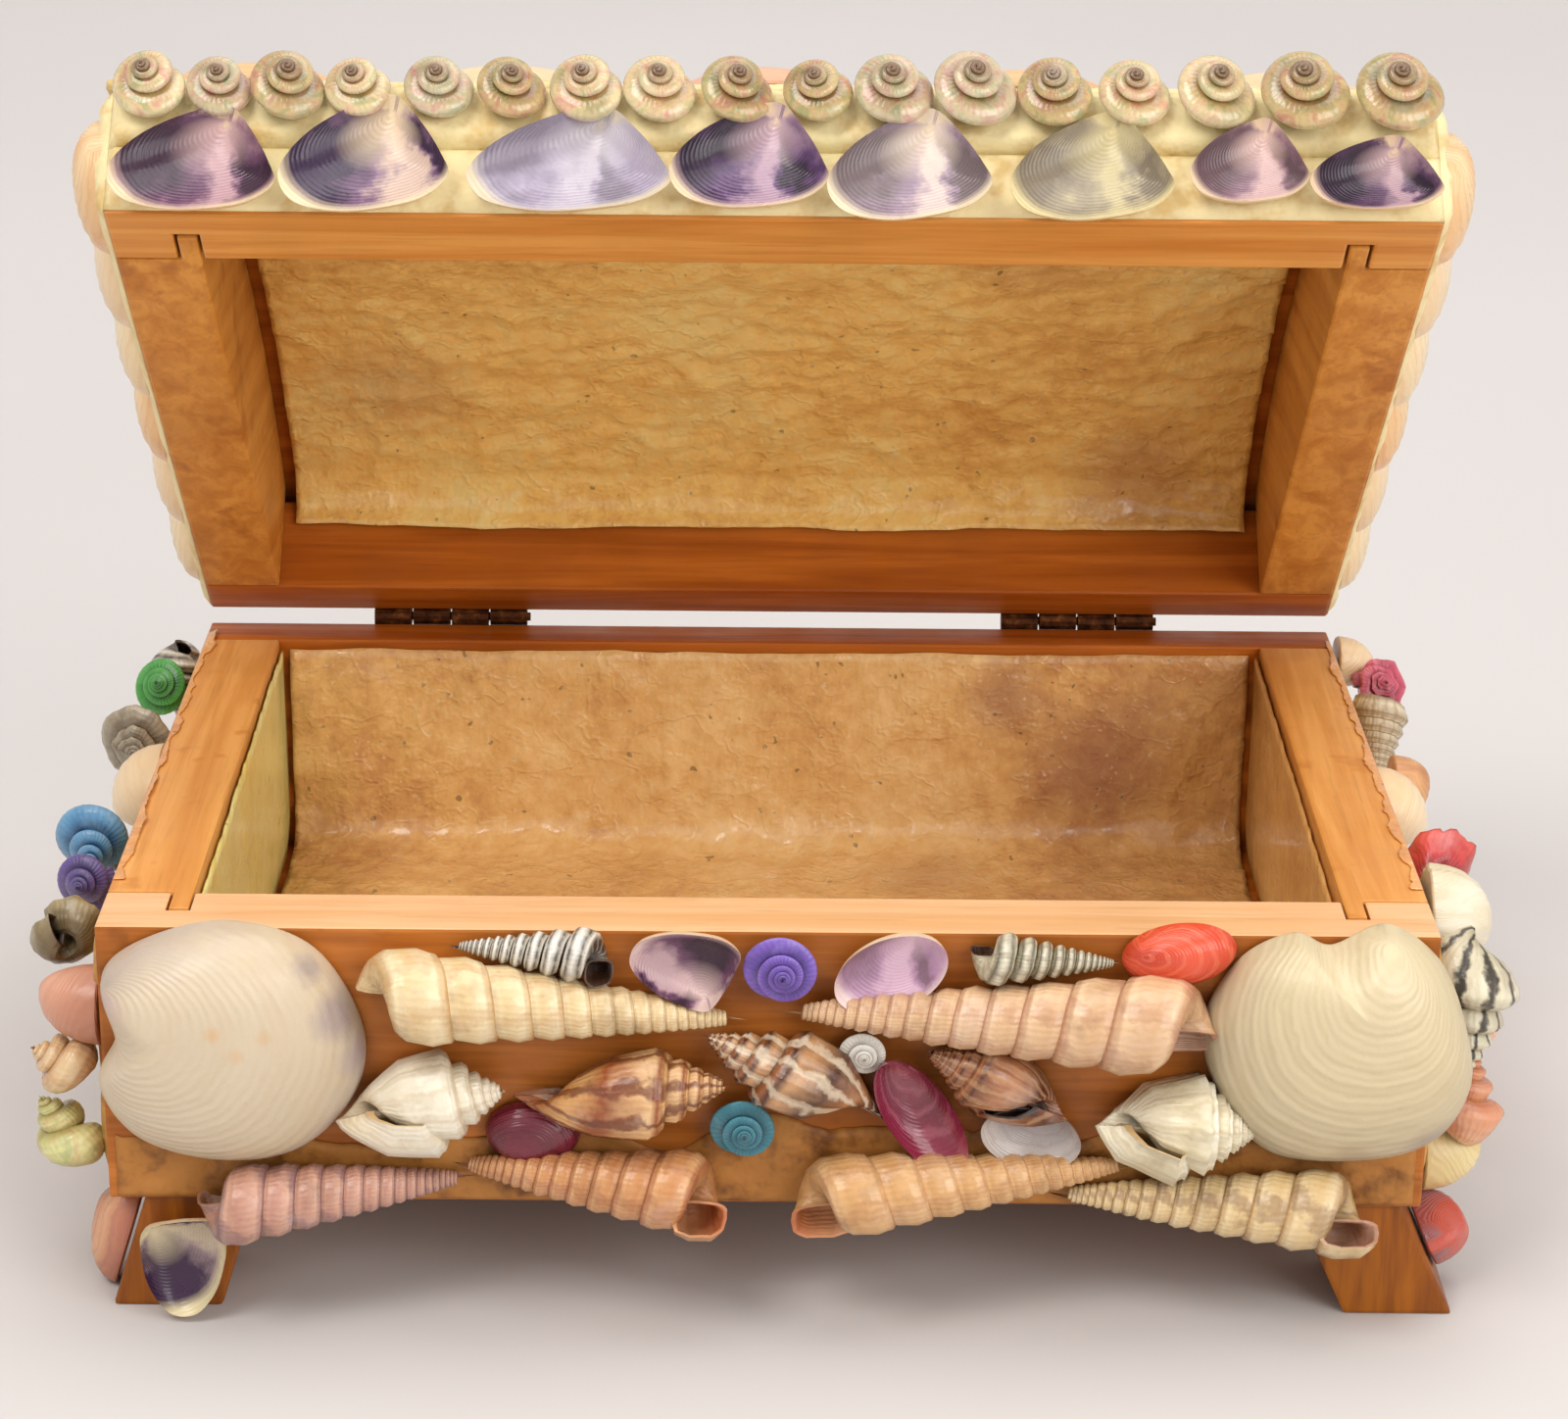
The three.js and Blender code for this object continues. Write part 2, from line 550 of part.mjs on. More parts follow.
function footSide(side) {
  const top = side < 0 ? LEFT_FOOT_X : RIGHT_FOOT_X + FOOT_W;
  const out = side < 0 ? LEAN_LEFT : LEAN_RIGHT;
  const p = panel([top + (side * out) / 2, 0, FLOOR / 2], [0, side, 0], [0, 0, 1]);
  return p.multiply(new THREE.Matrix4().makeRotationX(-Math.atan2(out, FLOOR)));
}
put('foot_shell_side_left', layValve(footSide(-1), [D / 2 - 6.4, -0.9, GAP], 78,
  { outline: WEDGE, width: 10, height: 8.8, deep: 4.4 }), 0xcf9a7c);
put('foot_shell_side_right', layValve(footSide(1), [-D / 2 + 6.4, -0.5, GAP], 102,
  { outline: WEDGE, width: 10.2, height: 9, deep: 4.8 }), 0xb5604a);

cutClear(shells, GAP);
const rimCut = solid(block(-200, 200, -200, 200, SHELL_TOP, 300));
for (const s of shells) {
  s.body = largest(s.body.subtract(rimCut));
  node(s.name, geometryOf(s.body), s.color, s.roughness);
}

// Ends and back of the box: shells in a bed of glue.

const SEAT = GLUE * 0.5; // shells sink into their bed
const bedBase = FIT;
function bed(P, u0, u1, v0, v1, w1) {
  return solid(block(u0, u1, v0, v1, bedBase, w1).applyMatrix4(P));
}

// A stubby coiled shell drawn simply, and a round one that stands out on its own foot of glue.
const STUB = [[0.06, 0.5], [0.26, 1], [0.6, 0.66], [0.86, 0.28]];
function stub({ length, radius }) {
  const rings = STUB.map(([x, r]) => {
    const out = [];
    for (let i = 0; i < 6; i++) {
      const a = (Math.PI * i) / 3;
      out.push([x * length, r * radius * Math.cos(a), r * radius * Math.sin(a)]);
    }
    return out;
  });
  return loft(rings, [0, 0, 0], [length, 0, 0]);
}

function ball(P, u, v, w, r) {
  const ring = (f, h) => {
    const out = [];
    for (let i = 0; i < 7; i++) {
      const a = (2 * Math.PI * i) / 7;
      out.push([u + f * r * Math.cos(a), v + f * r * Math.sin(a), h]);
    }
    return out;
  };
  const rings = [ring(0.6, SEAT), ring(0.98, w - 0.2 * r), ring(0.7, w + 0.7 * r)];
  return solid(loft(rings, [u, v, SEAT], [u, v, w + r]).applyMatrix4(P));
}

// Places are given as y and z on the end, whichever end it is.
function endShells(P, dir, edge) {
  const list = [bed(P, -D / 2 + 3, D / 2 - 3, FLOOR + 0.6, END_TOP - 0.6, bedBase + GLUE)];
  for (const [kind, y, z, ...d] of edge) {
    const [yy, zz] = endSpot(y, z);
    if (kind === 'valve') {
      const [width, height, deep, deg] = d;
      const opts = { outline: oval(7), width, height, deep, plain: true };
      list.push(layValve(P, [dir * yy, zz, SEAT], dir * deg, opts));
    }
    if (kind === 'ball') list.push(ball(P, dir * yy, zz, d[0], d[1]));
    if (kind === 'stub') {
      const [y1, z1] = endSpot(d[0], d[1]);
      const radius = d[2];
      const w = radius * 0.96 + SEAT;
      list.push(layLong(P, stub, [dir * yy, zz, w], [dir * y1, z1, w * 0.8], { radius, seat: SEAT }));
    }
  }
  let s = join(list);
  s = s.subtract(solid(block(-200, 200, -200, 200, END_TOP, 300)));
  s = s.subtract(solid(block(-200, 200, -200, 200, -10, FLOOR + 0.4)));
  return largest(s);
}

// Plain valves that fill the hidden part of an end.
const filler = [];
for (const [row, z] of [[0, 29.5], [1, 19.5]]) {
  for (let i = 0; i < 4; i++) {
    filler.push(['valve', -21 + i * 17.5 + row * 4, z, 17, 11.5, 4.2, (i * 37 + row * 60) % 50]);
  }
}
const leftEdge = [
  ['stub', 43.4, 32, 44.4, 39.4, 3],
  ['ball', 37.4, 37.6, 6.2, 3],
  ['stub', 26.6, 37, 17.6, 38.6, 4.6],
  ['valve', 8, 38.6, 13, 9.6, 6.4, 170],
  ['ball', -8.6, 39.4, 6.4, 4.3],
  ['ball', -20.4, 38.6, 5, 3.2],
  ['stub', -38.6, 40, -30.6, 41.2, 3.9],
  ['ball', -40.4, 33.6, 3.8, 4.2],
  ['stub', -40.8, 22.6, -40, 30.6, 3.7],
  ['stub', -41.4, 18.6, -38, 12.4, 3.9],
];
const rightEdge = [
  ['valve', 42.6, 34.6, 9, 10, 5.4, 0],
  ['ball', 36.6, 35.6, 6.6, 3.4],
  ['stub', 29.4, 41.6, 27.6, 32.4, 3.3],
  ['ball', 14.4, 38, 5.8, 3],
  ['valve', 6, 38, 14, 9.8, 6.4, 160],
  ['stub', -16.4, 39.4, -9.6, 37.8, 4.7],
  ['valve', -29, 40.4, 12, 8, 7.4, 20],
  ['stub', -40.6, 42.8, -40, 29.2, 4.2],
  ['ball', -37.4, 30.4, 6.8, 2.6],
  ['stub', -40.8, 19.6, -40.4, 28.2, 4.6],
  ['valve', -38.6, 15.6, 11, 8, 6.8, 20],
];
node('left_end_shells', geometryOf(endShells(LEFT, -1, leftEdge.concat(filler))), 0xcdbfa4, 0.5);
node('right_end_shells', geometryOf(endShells(RIGHT, 1, rightEdge.concat(filler))), 0xd6c2a6, 0.5);

const backList = [bed(BACK, -W / 2 + 4, W / 2 - 4, FLOOR + 0.6, PIN_Z - LEAF_H - 1.4, bedBase + GLUE)];
for (let row = 0; row < 2; row++) {
  for (let i = 0; i < 6; i++) {
    const u = -W / 2 + (14 + row * 5 + i * 21.6) * ACROSS;
    const v = FLOOR + (6.6 + row * 11) * UPRIGHT;
    backList.push(layValve(BACK, [u, v, SEAT], (i * 53 + row * 20) % 40,
      { outline: oval(7), width: 19.4 * ACROSS, height: 11.6, deep: 3.6, plain: true }));
  }
}
const backBand = solid(block(-W / 2 + 1, W / 2 - 1, 0, 200, FLOOR + 0.4, PIN_Z - LEAF_H - 0.9));
node('back_shells', geometryOf(largest(join(backList).intersect(backBand))), 0xdccbaa, 0.5);

// Lid.

const under = (y) => LID_Z + LID_WALL + RISE * (1 - (y / (D / 2)) ** 2);
const arc = (y0, y1, lift, n) => {
  const out = [];
  for (let i = 0; i <= n; i++) {
    const y = y0 + ((y1 - y0) * i) / n;
    out.push([y, under(y) + lift]);
  }
  return out;
};

const railTop = LID_Z + LID_WALL - GAP;
lidNode('lid_front_rail', geometryOf(frontBoard(LID_Z, railTop, GAP)), RIM_WOOD);
lidNode('lid_back_rail', block(-W / 2, W / 2, yBackIn, D / 2, LID_Z, railTop), RIM_WOOD);

function lidEnd(side) {
  const y0 = yFrontIn + GAP;
  const y1 = yBackIn - GAP;
  const a = side * xIn;
  const b = (side * W) / 2;
  const main = alongX([[y0, LID_Z], [y1, LID_Z], ...arc(y1, y0, -GAP, 8)], Math.min(a, b), Math.max(a, b));
  return solid(main).add(tongue(side, LID_Z, railTop, GAP));
}
lidNode('lid_left_end', geometryOf(lidEnd(-1)), RIM_WOOD);
lidNode('lid_right_end', geometryOf(lidEnd(1)), RIM_WOOD);

const half = D / 2;
const roofLine = [...arc(-half, half, 0, 10), ...arc(half, -half, ROOF, 10)];
lidNode('lid_roof', alongX(roofLine, -W / 2, W / 2), WOOD);

const ceiling = arc(yFrontIn + 0.75, yBackIn - 3.75, -0.9, 8);
const lidSheet = [...ceiling.reverse()];
lidSheet.unshift([yBackIn - 0.9, LID_Z + 8.6], [yBackIn - 0.9, LID_Z + 11.4]);
lidNode('lid_lining', sheet(lidSheet, -xIn + 1.4, xIn - 1.4), PAPER, 0.4);

// Plaster beds on the lid, each with its shells.
const TOP = LID_Z + LID_WALL + ROOF;
const lidShells = [];
const bedOut = GAP + PLASTER;

// Front: a bed over the rail with a row of wedge clams, and a fillet with a row of buttons above.
const clamSplit = LID_Z + 8.2;
const wedges = [
  [-61.2, 4.3, 17.6, 13.2], [-43.3, 5, 17.8, 14.4], [-21.6, 4.6, 21.4, 13.2], [-2.6, 5.2, 16.7, 13.2],
  [14.1, 4.2, 17.3, 13.6], [33.4, 4.2, 17.2, 13.4], [50.1, 5.1, 12.5, 10.4], [63.5, 3.8, 14, 9.2],
];
const clamBed = box(-W / 2, W / 2, -half - bedOut, -half - GAP, LID_Z + 0.4, clamSplit);
const clams = wedges.map(([x, h, w, tall]) => layValve(FRONT, [x * ACROSS, LID_Z + h, PLASTER - 0.2], -4,
  { outline: WEDGE, width: w * ACROSS, height: tall, deep: 2.6, dished: true, beak: [0.12, 0.32] }));
lidShells.push({ name: 'lid_front_clams', body: join([clamBed, ...clams]), color: 0xd9c4b4 });

const buttonRow = [box(-W / 2, W / 2, -half - bedOut, -half - GAP, clamSplit + GAP, TOP - 1)];
const buttonX = [-66.6, -59.2, -51.9, -44.6, -36, -28.3, -20.2, -12.4, -4.2, 4.3, 12.3, 20.9, 29.6,
  38.1, 46.7, 56, 66];
const buttonR = [3.8, 3.4, 3.9, 3.4, 3.6, 3.6, 3.8, 3.8, 3.8, 3.6, 4.1, 4.4, 3.9, 3.8, 4.2, 4.6, 4.6];
buttonX.forEach((x, i) => {
  buttonRow.push(button(FRONT, x * ACROSS, LID_Z + 14, buttonR[i] * Math.min(1, ACROSS), PLASTER));
});
let rowBody = join(buttonRow);
for (const c of clams) rowBody = rowBody.subtract(spaceOf(c, GAP));
lidShells.push({ name: 'lid_button_row', body: rowBody, color: 0xd8c9a4 });

// Top: a curved bed with rows of domed valves that overlap like tiles.
const topLine = [...arc(-half, half, ROOF + GAP, 10), ...arc(half, -half, ROOF + bedOut, 10)];
const topBed = [solid(alongX(topLine, -W / 2, W / 2))];
for (let row = 0; row < 4; row++) {
  for (let i = 0; i < 5; i++) {
    const x = -W / 2 + (14 + i * 28 + (row % 2) * 2) * ACROSS;
    const y = -half + (11.6 + row * 23.2) * DEEP;
    const slope = Math.atan((-2 * RISE * y) / (half * half));
    const g = valve({ outline: oval(7), width: 28, height: 25, deep: 5, plain: true });
    g.rotateZ(rad(((i * 47 + row * 31) % 30) - 15));
    g.rotateX(slope);
    g.translate(x, y, under(y) + ROOF + GAP + 0.5);
    topBed.push(solid(g));
  }
}
const topKeep = solid(block(-W / 2, W / 2, -half, half, 0, 300));
lidShells.push({ name: 'lid_top_valves', body: join(topBed).intersect(topKeep), color: SHELL });

// Ends: beds with a row of overlapping valves along the rim and one above.
function lidEndBed(P, dir) {
  const y0 = -half;
  const profile = [[y0, LID_Z + 0.4], [half, LID_Z + 0.4], ...arc(half, y0, ROOF, 6)];
  const x0 = dir < 0 ? -W / 2 - bedOut : W / 2 + GAP;
  const list = [solid(alongX(profile, x0, x0 + PLASTER))];
  for (let i = 0; i < 6; i++) {
    const y = -half + (8 + i * 15.6) * DEEP;
    list.push(layValve(P, [dir * y, LID_Z + 8.6, GAP + 0.4], dir * (75 - i * 3),
      { outline: oval(7), width: 15.4 * DEEP, height: 17.6, deep: 3.8, plain: true }));
  }
  return join(list).intersect(solid(block(-200, 200, -half, half, 0, 300)));
}
lidShells.push({ name: 'lid_left_valves', body: lidEndBed(LEFT, -1), color: SHELL });
lidShells.push({ name: 'lid_right_valves', body: lidEndBed(RIGHT, 1), color: SHELL });

// Back: valves above the hinge leaves.
const backLow = PIN_Z + LEAF_H + 0.6;
const backLid = [box(-W / 2, W / 2, half + GAP, half + bedOut, backLow, TOP)];
for (let i = 0; i < 7; i++) {
  backLid.push(layValve(BACK, [-W / 2 + (11 + i * 20) * ACROSS, LID_Z + 11.6, GAP + 0.4], (i * 41) % 24,
    { outline: oval(7), width: 19 * ACROSS, height: 9, deep: 3, plain: true }));
}
const aboveLeaf = solid(block(-200, 200, 0, 200, backLow, 300));
lidShells.push({ name: 'lid_back_valves', body: join(backLid).intersect(aboveLeaf), color: SHELL });

const rimKeep = solid(block(-200, 200, -200, 200, 0, LID_Z - CLAM_HANG));
for (const s of lidShells) {
  lidNode(s.name, geometryOf(largest(s.body.subtract(rimKeep))), s.color, 0.45);
}

// The origin is the middle of the object's footprint box, on the ground.
model.updateMatrixWorld(true);
const bounds = new THREE.Box3().setFromObject(model, true);
const centre = bounds.getCenter(new THREE.Vector3());
model.position.set(-centre.x, -centre.y, -bounds.min.z);

const root = new THREE.Group();
root.add(model);
export default root;
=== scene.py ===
import math

import bmesh
import bpy
import numpy as np
from mathutils import Matrix, Vector


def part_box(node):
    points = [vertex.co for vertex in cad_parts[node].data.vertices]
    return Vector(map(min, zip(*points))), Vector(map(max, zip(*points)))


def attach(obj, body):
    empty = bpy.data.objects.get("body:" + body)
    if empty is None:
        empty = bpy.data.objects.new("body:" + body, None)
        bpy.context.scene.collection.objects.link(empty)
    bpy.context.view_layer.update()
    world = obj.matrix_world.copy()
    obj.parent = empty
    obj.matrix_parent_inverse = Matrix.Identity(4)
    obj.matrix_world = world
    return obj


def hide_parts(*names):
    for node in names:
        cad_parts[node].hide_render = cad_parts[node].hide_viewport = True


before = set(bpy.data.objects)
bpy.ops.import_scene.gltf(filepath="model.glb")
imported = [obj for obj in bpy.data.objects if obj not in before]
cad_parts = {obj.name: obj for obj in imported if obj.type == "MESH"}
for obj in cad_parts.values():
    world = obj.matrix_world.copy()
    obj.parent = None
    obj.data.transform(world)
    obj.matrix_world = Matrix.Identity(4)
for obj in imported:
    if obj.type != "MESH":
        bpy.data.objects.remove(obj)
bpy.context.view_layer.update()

# Sizes in millimetres, in the object's own frame: middle of the box on the ground, lid shut
W, D, H = 142.0, 93.5, 45.2
T_FRONT, T_BACK, T_END = 9.0, 6.0, 9.3
FLOOR, FLOOR_TOP = 13.0, 17.2
RIM_GAP, LID_WALL, RISE, ROOF = 0.8, 12.5, 7.0, 3.0
LID_Z = H + RIM_GAP
PIN_Y, PIN_Z = D / 2 + 1.35, H + 0.6
OPEN = math.radians(46.3)
X_IN = W / 2 - T_END
LEAF_H = 6.4
Y_FRONT, Y_BACK = -D / 2 + T_FRONT, D / 2 - T_BACK
BED_BACK = 0.03  # from a board to the back of its bed
GRAIN = 0.01  # uv units for a millimetre

lo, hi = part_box("front_board")
SHIFT = np.array([(lo[0] + hi[0]) * 500, lo[1] * 1000 + D / 2, 0.0])


def in_box(p):
    return (np.asarray(p, float) + SHIFT) / 1000


def in_lid(p):
    """Points drawn with the lid shut, turned about the hinge pins to where it stands."""
    p = np.array(p, float)
    y, z = p[..., 1] - PIN_Y, p[..., 2] - PIN_Z
    c, s = math.cos(OPEN), math.sin(OPEN)
    p[..., 1] = y * c + z * s + PIN_Y
    p[..., 2] = -y * s + z * c + PIN_Z
    return in_box(p)


# Camera, solved from the straight edges of the box in the photograph
F_PX, YAW, PITCH, ROLL = 4023.65, -0.00591, 0.37175, 0.01034
PHOTO_PX, SENSOR = 1600, 36
CAMERA_AT = [-0.84, -425.12, 217.85]
fwd = np.array([-math.sin(YAW) * math.cos(PITCH), math.cos(YAW) * math.cos(PITCH), -math.sin(PITCH)])
right = np.array([math.cos(YAW), math.sin(YAW), 0.0])
up = np.cross(right, fwd)
r2 = math.cos(ROLL) * right + math.sin(ROLL) * up
u2 = -math.sin(ROLL) * right + math.cos(ROLL) * up
cam = bpy.data.objects.new("camera", bpy.data.cameras.new("camera"))
cam.data.sensor_fit = "HORIZONTAL"
cam.data.sensor_width = SENSOR
cam.data.lens = SENSOR * F_PX / PHOTO_PX
m = Matrix.Identity(4)
for i in range(3):
    m[i][0], m[i][1], m[i][2] = r2[i], u2[i], -fwd[i]
    m[i][3] = in_box(CAMERA_AT)[i]
cam.matrix_world = m
bpy.context.scene.collection.objects.link(cam)
bpy.context.scene.camera = cam
bpy.context.scene.view_settings.view_transform = "Standard"


# Noise
def lattice(p, seed):
    i = np.floor(p).astype(np.int64)
    f = p - i
    f = f * f * (3 - 2 * f)
    out = 0.0
    for dx in (0, 1):
        for dy in (0, 1):
            for dz in (0, 1):
                n = (i[..., 0] + dx) * 374761393 + (i[..., 1] + dy) * 668265263
                n = (n + (i[..., 2] + dz) * 2147483629 + seed * 974634777) & 0xFFFFFFFF
                n = ((n ^ (n >> 13)) * 1274126177) & 0xFFFFFFFF
                h = ((n ^ (n >> 16)) & 0xFFFF) / 65535.0
                wx = f[..., 0] if dx else 1 - f[..., 0]
                wy = f[..., 1] if dy else 1 - f[..., 1]
                wz = f[..., 2] if dz else 1 - f[..., 2]
                out = out + h * wx * wy * wz
    return out


def fbm(p, seed=0, octaves=3):
    p = np.asarray(p, float)
    total, amp, out = 0.0, 1.0, 0.0
    for k in range(octaves):
        out = out + amp * lattice(p * 2**k, seed + k)
        total += amp
        amp *= 0.5
    return out / total


def flat_fbm(x, y, seed, octaves=3):
    return fbm(np.stack([x, y, 0 * x], -1), seed, octaves)


def spread(a, b, nu, c, d, nv):
    """Two nu x nv grids of values: the first from a to b down the rows, the second from c to d across."""
    one = np.ones((nu, nv))
    return np.linspace(a, b, nu)[:, None] * one, np.linspace(c, d, nv)[None, :] * one


def creases(p, seed):
    """Sharp folds: ridges where a smooth field crosses its middle."""
    a = 1 - np.abs(2 * fbm(p, seed, 2) - 1) * 2.2
    return np.clip(a, 0, 1) ** 2


# Pieces
class Piece:
    """Collects surfaces, each with its material, and makes one object of them."""

    def __init__(self, name, body, node, slot):
        self.name, self.body, self.node, self.slot = name, body, node, slot
        self.v, self.f, self.uv, self.mi, self.mats = [], [], [], [], []
        self.n = 0

    def add(self, verts, faces, uvs, mat):
        """verts (n,3) in metres; faces are index lists; uvs one pair for each face corner."""
        if mat not in self.mats:
            self.mats.append(mat)
        k = self.mats.index(mat)
        self.v.append(np.asarray(verts).reshape(-1, 3))
        self.f.extend([[a + self.n for a in f] for f in faces])
        self.uv.extend(uvs)
        self.mi.extend([k] * len(faces))
        self.n += len(self.v[-1])

    def make(self, smooth=True):
        me = bpy.data.meshes.new(self.name)
        me.from_pydata([tuple(p) for p in np.vstack(self.v)], [], self.f)
        layer = me.uv_layers.new(name="grain")
        layer.data.foreach_set("uv", np.array(self.uv, float).reshape(-1, 2).ravel())
        for m_ in self.mats:
            me.materials.append(m_)
        me.polygons.foreach_set("material_index", self.mi)
        me.polygons.foreach_set("use_smooth", [smooth] * len(self.f))
        ob = bpy.data.objects.new(self.name, me)
        bpy.context.scene.collection.objects.link(ob)
        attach(ob, self.body)
        if self.node:
            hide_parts(*([self.node] if isinstance(self.node, str) else self.node))
        bm = bmesh.new()
        bm.from_mesh(me)
        bmesh.ops.recalc_face_normals(bm, faces=bm.faces)
        bm.to_mesh(me)
        bm.free()
        return ob


def grid(nu, nv, U, V, wrap_v=False):
    """Faces and corner uvs of an nu x nv grid whose rows are u; v may close on itself."""
    faces, uvs = [], []
    for i in range(nu - 1):
        for j in range(nv if wrap_v else nv - 1):
            k = (j + 1) % nv
            faces.append([i * nv + j, (i + 1) * nv + j, (i + 1) * nv + k, i * nv + k])
            uvs.extend([(U[i], V[j]), (U[i + 1], V[j]), (U[i + 1], V[j + 1]), (U[i], V[j + 1])])
    return faces, uvs


def sheet(front, back, uvs2):
    """A closed slab from two grids of points, front and back, with a uv for each grid point."""
    nu, nv = front.shape[:2]
    verts = np.concatenate([front.reshape(-1, 3), back.reshape(-1, 3)])
    off = nu * nv
    flat = uvs2.reshape(-1, 2)
    faces = []
    for i in range(nu - 1):
        for j in range(nv - 1):
            a, b, c, d = i * nv + j, (i + 1) * nv + j, (i + 1) * nv + j + 1, i * nv + j + 1
            faces.append([a, b, c, d])
            faces.append([off + d, off + c, off + b, off + a])
    rim = [i * nv for i in range(nu)] + [(nu - 1) * nv + j for j in range(1, nv)]
    rim += [i * nv + nv - 1 for i in range(nu - 2, -1, -1)] + [j for j in range(nv - 2, 0, -1)]
    for a, b in zip(rim, rim[1:] + rim[:1]):
        faces.append([b, a, off + a, off + b])
    uvs = [tuple(flat[k % off]) for f in faces for k in f]
    return verts, faces, uvs


# Panels: u and v lie in the panel, w stands out of it
def panel(origin, u, v, place):
    """A map from (u, v, w) on a flat face to metres."""
    o, u, v = (np.array(a, float) for a in (origin, u, v))
    w = np.cross(u, v)
    return lambda p: place(o + p[..., 0:1] * u + p[..., 1:2] * v + p[..., 2:3] * w)


FRONT = panel([0, -D / 2, 0], [1, 0, 0], [0, 0, 1], in_box)
LEFT = panel([-W / 2, 0, 0], [0, -1, 0], [0, 0, 1], in_box)
RIGHT = panel([W / 2, 0, 0], [0, 1, 0], [0, 0, 1], in_box)
BACK = panel([0, D / 2, 0], [-1, 0, 0], [0, 0, 1], in_box)
LID_FRONT = panel([0, -D / 2, LID_Z], [1, 0, 0], [0, 0, 1], in_lid)
LID_LEFT = panel([-W / 2, 0, LID_Z], [0, -1, 0], [0, 0, 1], in_lid)
LID_RIGHT = panel([W / 2, 0, LID_Z], [0, 1, 0], [0, 0, 1], in_lid)
LID_BACK = panel([0, D / 2, LID_Z], [-1, 0, 0], [0, 0, 1], in_lid)


# Shells
def axes_to(a, b):
    """Frame whose X runs from a to b and whose Z leans out of the panel."""
    x = np.array(b, float) - np.array(a, float)
    length = np.linalg.norm(x)
    x /= length
    z = np.array([0, 0, 1.0]) if abs(x[2]) < 0.9 else np.array([0, 1.0, 0])
    y = np.cross(z, x)
    y /= np.linalg.norm(y)
    return length, x, y, np.cross(x, y)


def coil(piece, P, big, tip, R, mats, La=None, step=1.22, turns=11, seg=22, cross=18, cr=0.5, mouth=90.0,
        hand=1, cords=(0, 0.0), ribs=(0, 0.0), knobs=0.0, lip=0.0, taper=0.75, post=1.16, wobble=0.0, seed=1,
        flat=1.0, fat=1.0, bulge=1.5, close=0.0):
    """A coiled shell: a tube wound on a cone from the tip to the mouth, with its hollow mouth.
    big is the middle of the last whorl and tip the apex, both as (u, v, w) on the panel."""
    L, ax, ay, az = axes_to(big, tip)
    post_len = 0.5 * L * (1 - 1 / step) * post
    La = post_len if La is None else La
    start = math.radians(mouth) - hand * 2 * math.pi * turns

    def ring(s, shrink=1.0):
        s = np.atleast_1d(s)[:, None]
        g = step ** (s - turns)
        phi = (np.arange(cross) / cross * 2 * math.pi)[None, :]
        c, q = np.cos(phi), np.sin(phi)
        c = np.sign(c) * np.abs(c) ** (0.5 + 0.5 * flat)
        q = np.sign(q) * np.abs(q) ** flat
        ant = np.clip(-c, 0, 1)
        A = np.where(c > 0, c * post_len, c * La) * shrink
        half = (1 - cr) * R * (1 - 0.35 * ant**2 * taper)
        rad = cr * R * (1 - taper * ant**bulge) + half * q * shrink
        out = np.clip(q, 0, 1)
        if cords[0]:
            rad = rad + cords[1] * R * np.cos(cords[0] * phi) * out
        if ribs[0]:
            w = 0.5 + 0.5 * np.cos(2 * math.pi * ribs[0] * s)
            rad = rad + ribs[1] * R * (w**1.5) * out**0.5
            if knobs:
                rad = rad + knobs * R * w * np.cos(max(cords[0], 3) * phi) ** 2 * out
        if close:
            t = np.clip(1 - (turns - s) / close, 0, 1)
            t = t * t * (3 - 2 * t)
            rad = rad * (1 - 0.42 * t)
            A = A * (1 - 0.45 * t)
        if lip:
            rad = rad + lip * R * np.clip(1 - (turns - s) * 9, 0, 1) * (0.3 + out)
        ang = hand * 2 * math.pi * s + start
        X = L * (1 - g) + g * A
        rad = g**fat * rad
        pts = np.stack([X + 0 * ang, rad * np.cos(ang), rad * np.sin(ang)], -1)
        if wobble:
            pts = pts + (fbm(pts * 0.5, seed)[..., None] - 0.5) * wobble * R
        return np.array(big, float) + pts[..., 0:1] * ax + pts[..., 1:2] * ay + pts[..., 2:3] * az

    S = np.linspace(0, turns, int(turns * seg) + 1)
    outer = ring(S)
    V = np.arange(cross + 1) / cross
    faces, uvs = grid(len(S), cross, S, V, wrap_v=True)
    tipv = len(S) * cross
    verts = np.concatenate([outer.reshape(-1, 3), np.array(tip, float)[None]])
    for j in range(cross):
        faces.append([tipv, j, (j + 1) % cross])
        uvs.extend([(0, 0.5), (0, V[j]), (0, V[j + 1])])
    verts[:, 2] = np.maximum(verts[:, 2], 0.25)
    piece.add(P(verts), faces, uvs, mats[0])
    back = turns - np.array([0.0, 0.004, 0.03, 0.1, 0.2, 0.32])
    rings = [ring(np.array([back[0]]))] + [ring(np.array([b]), 0.88 - 0.02 * k) for k, b in enumerate(back)]
    inner = np.concatenate(rings)
    inner = np.concatenate([inner, inner[-1:].mean(1, keepdims=True).repeat(cross, 1)])
    inner[..., 2] = np.maximum(inner[..., 2], 0.3)
    n = len(inner)
    faces, uvs = grid(n, cross, np.arange(n) / n, V, wrap_v=True)
    piece.add(P(inner.reshape(-1, 3)), faces, uvs, mats[1])


def button(piece, P, u, v, w, R, mats, tilt=(0, 0), tall=0.62, turns=5.2, step=1.68, mouth=-60.0, hand=1):
    """A low coil seen from its apex."""
    big = np.array([u - 0.3 * tilt[0], v - 0.3 * tilt[1], w + 0.42 * R])
    tip = big + np.array([tilt[0], tilt[1], tall * R])
    coil(piece, P, big, tip, R * 1.24, mats, La=0.5 * R, step=step, turns=turns, seg=36, cross=16, cr=0.5,
        mouth=mouth, hand=hand, taper=0.15, post=1.3, close=0.45)


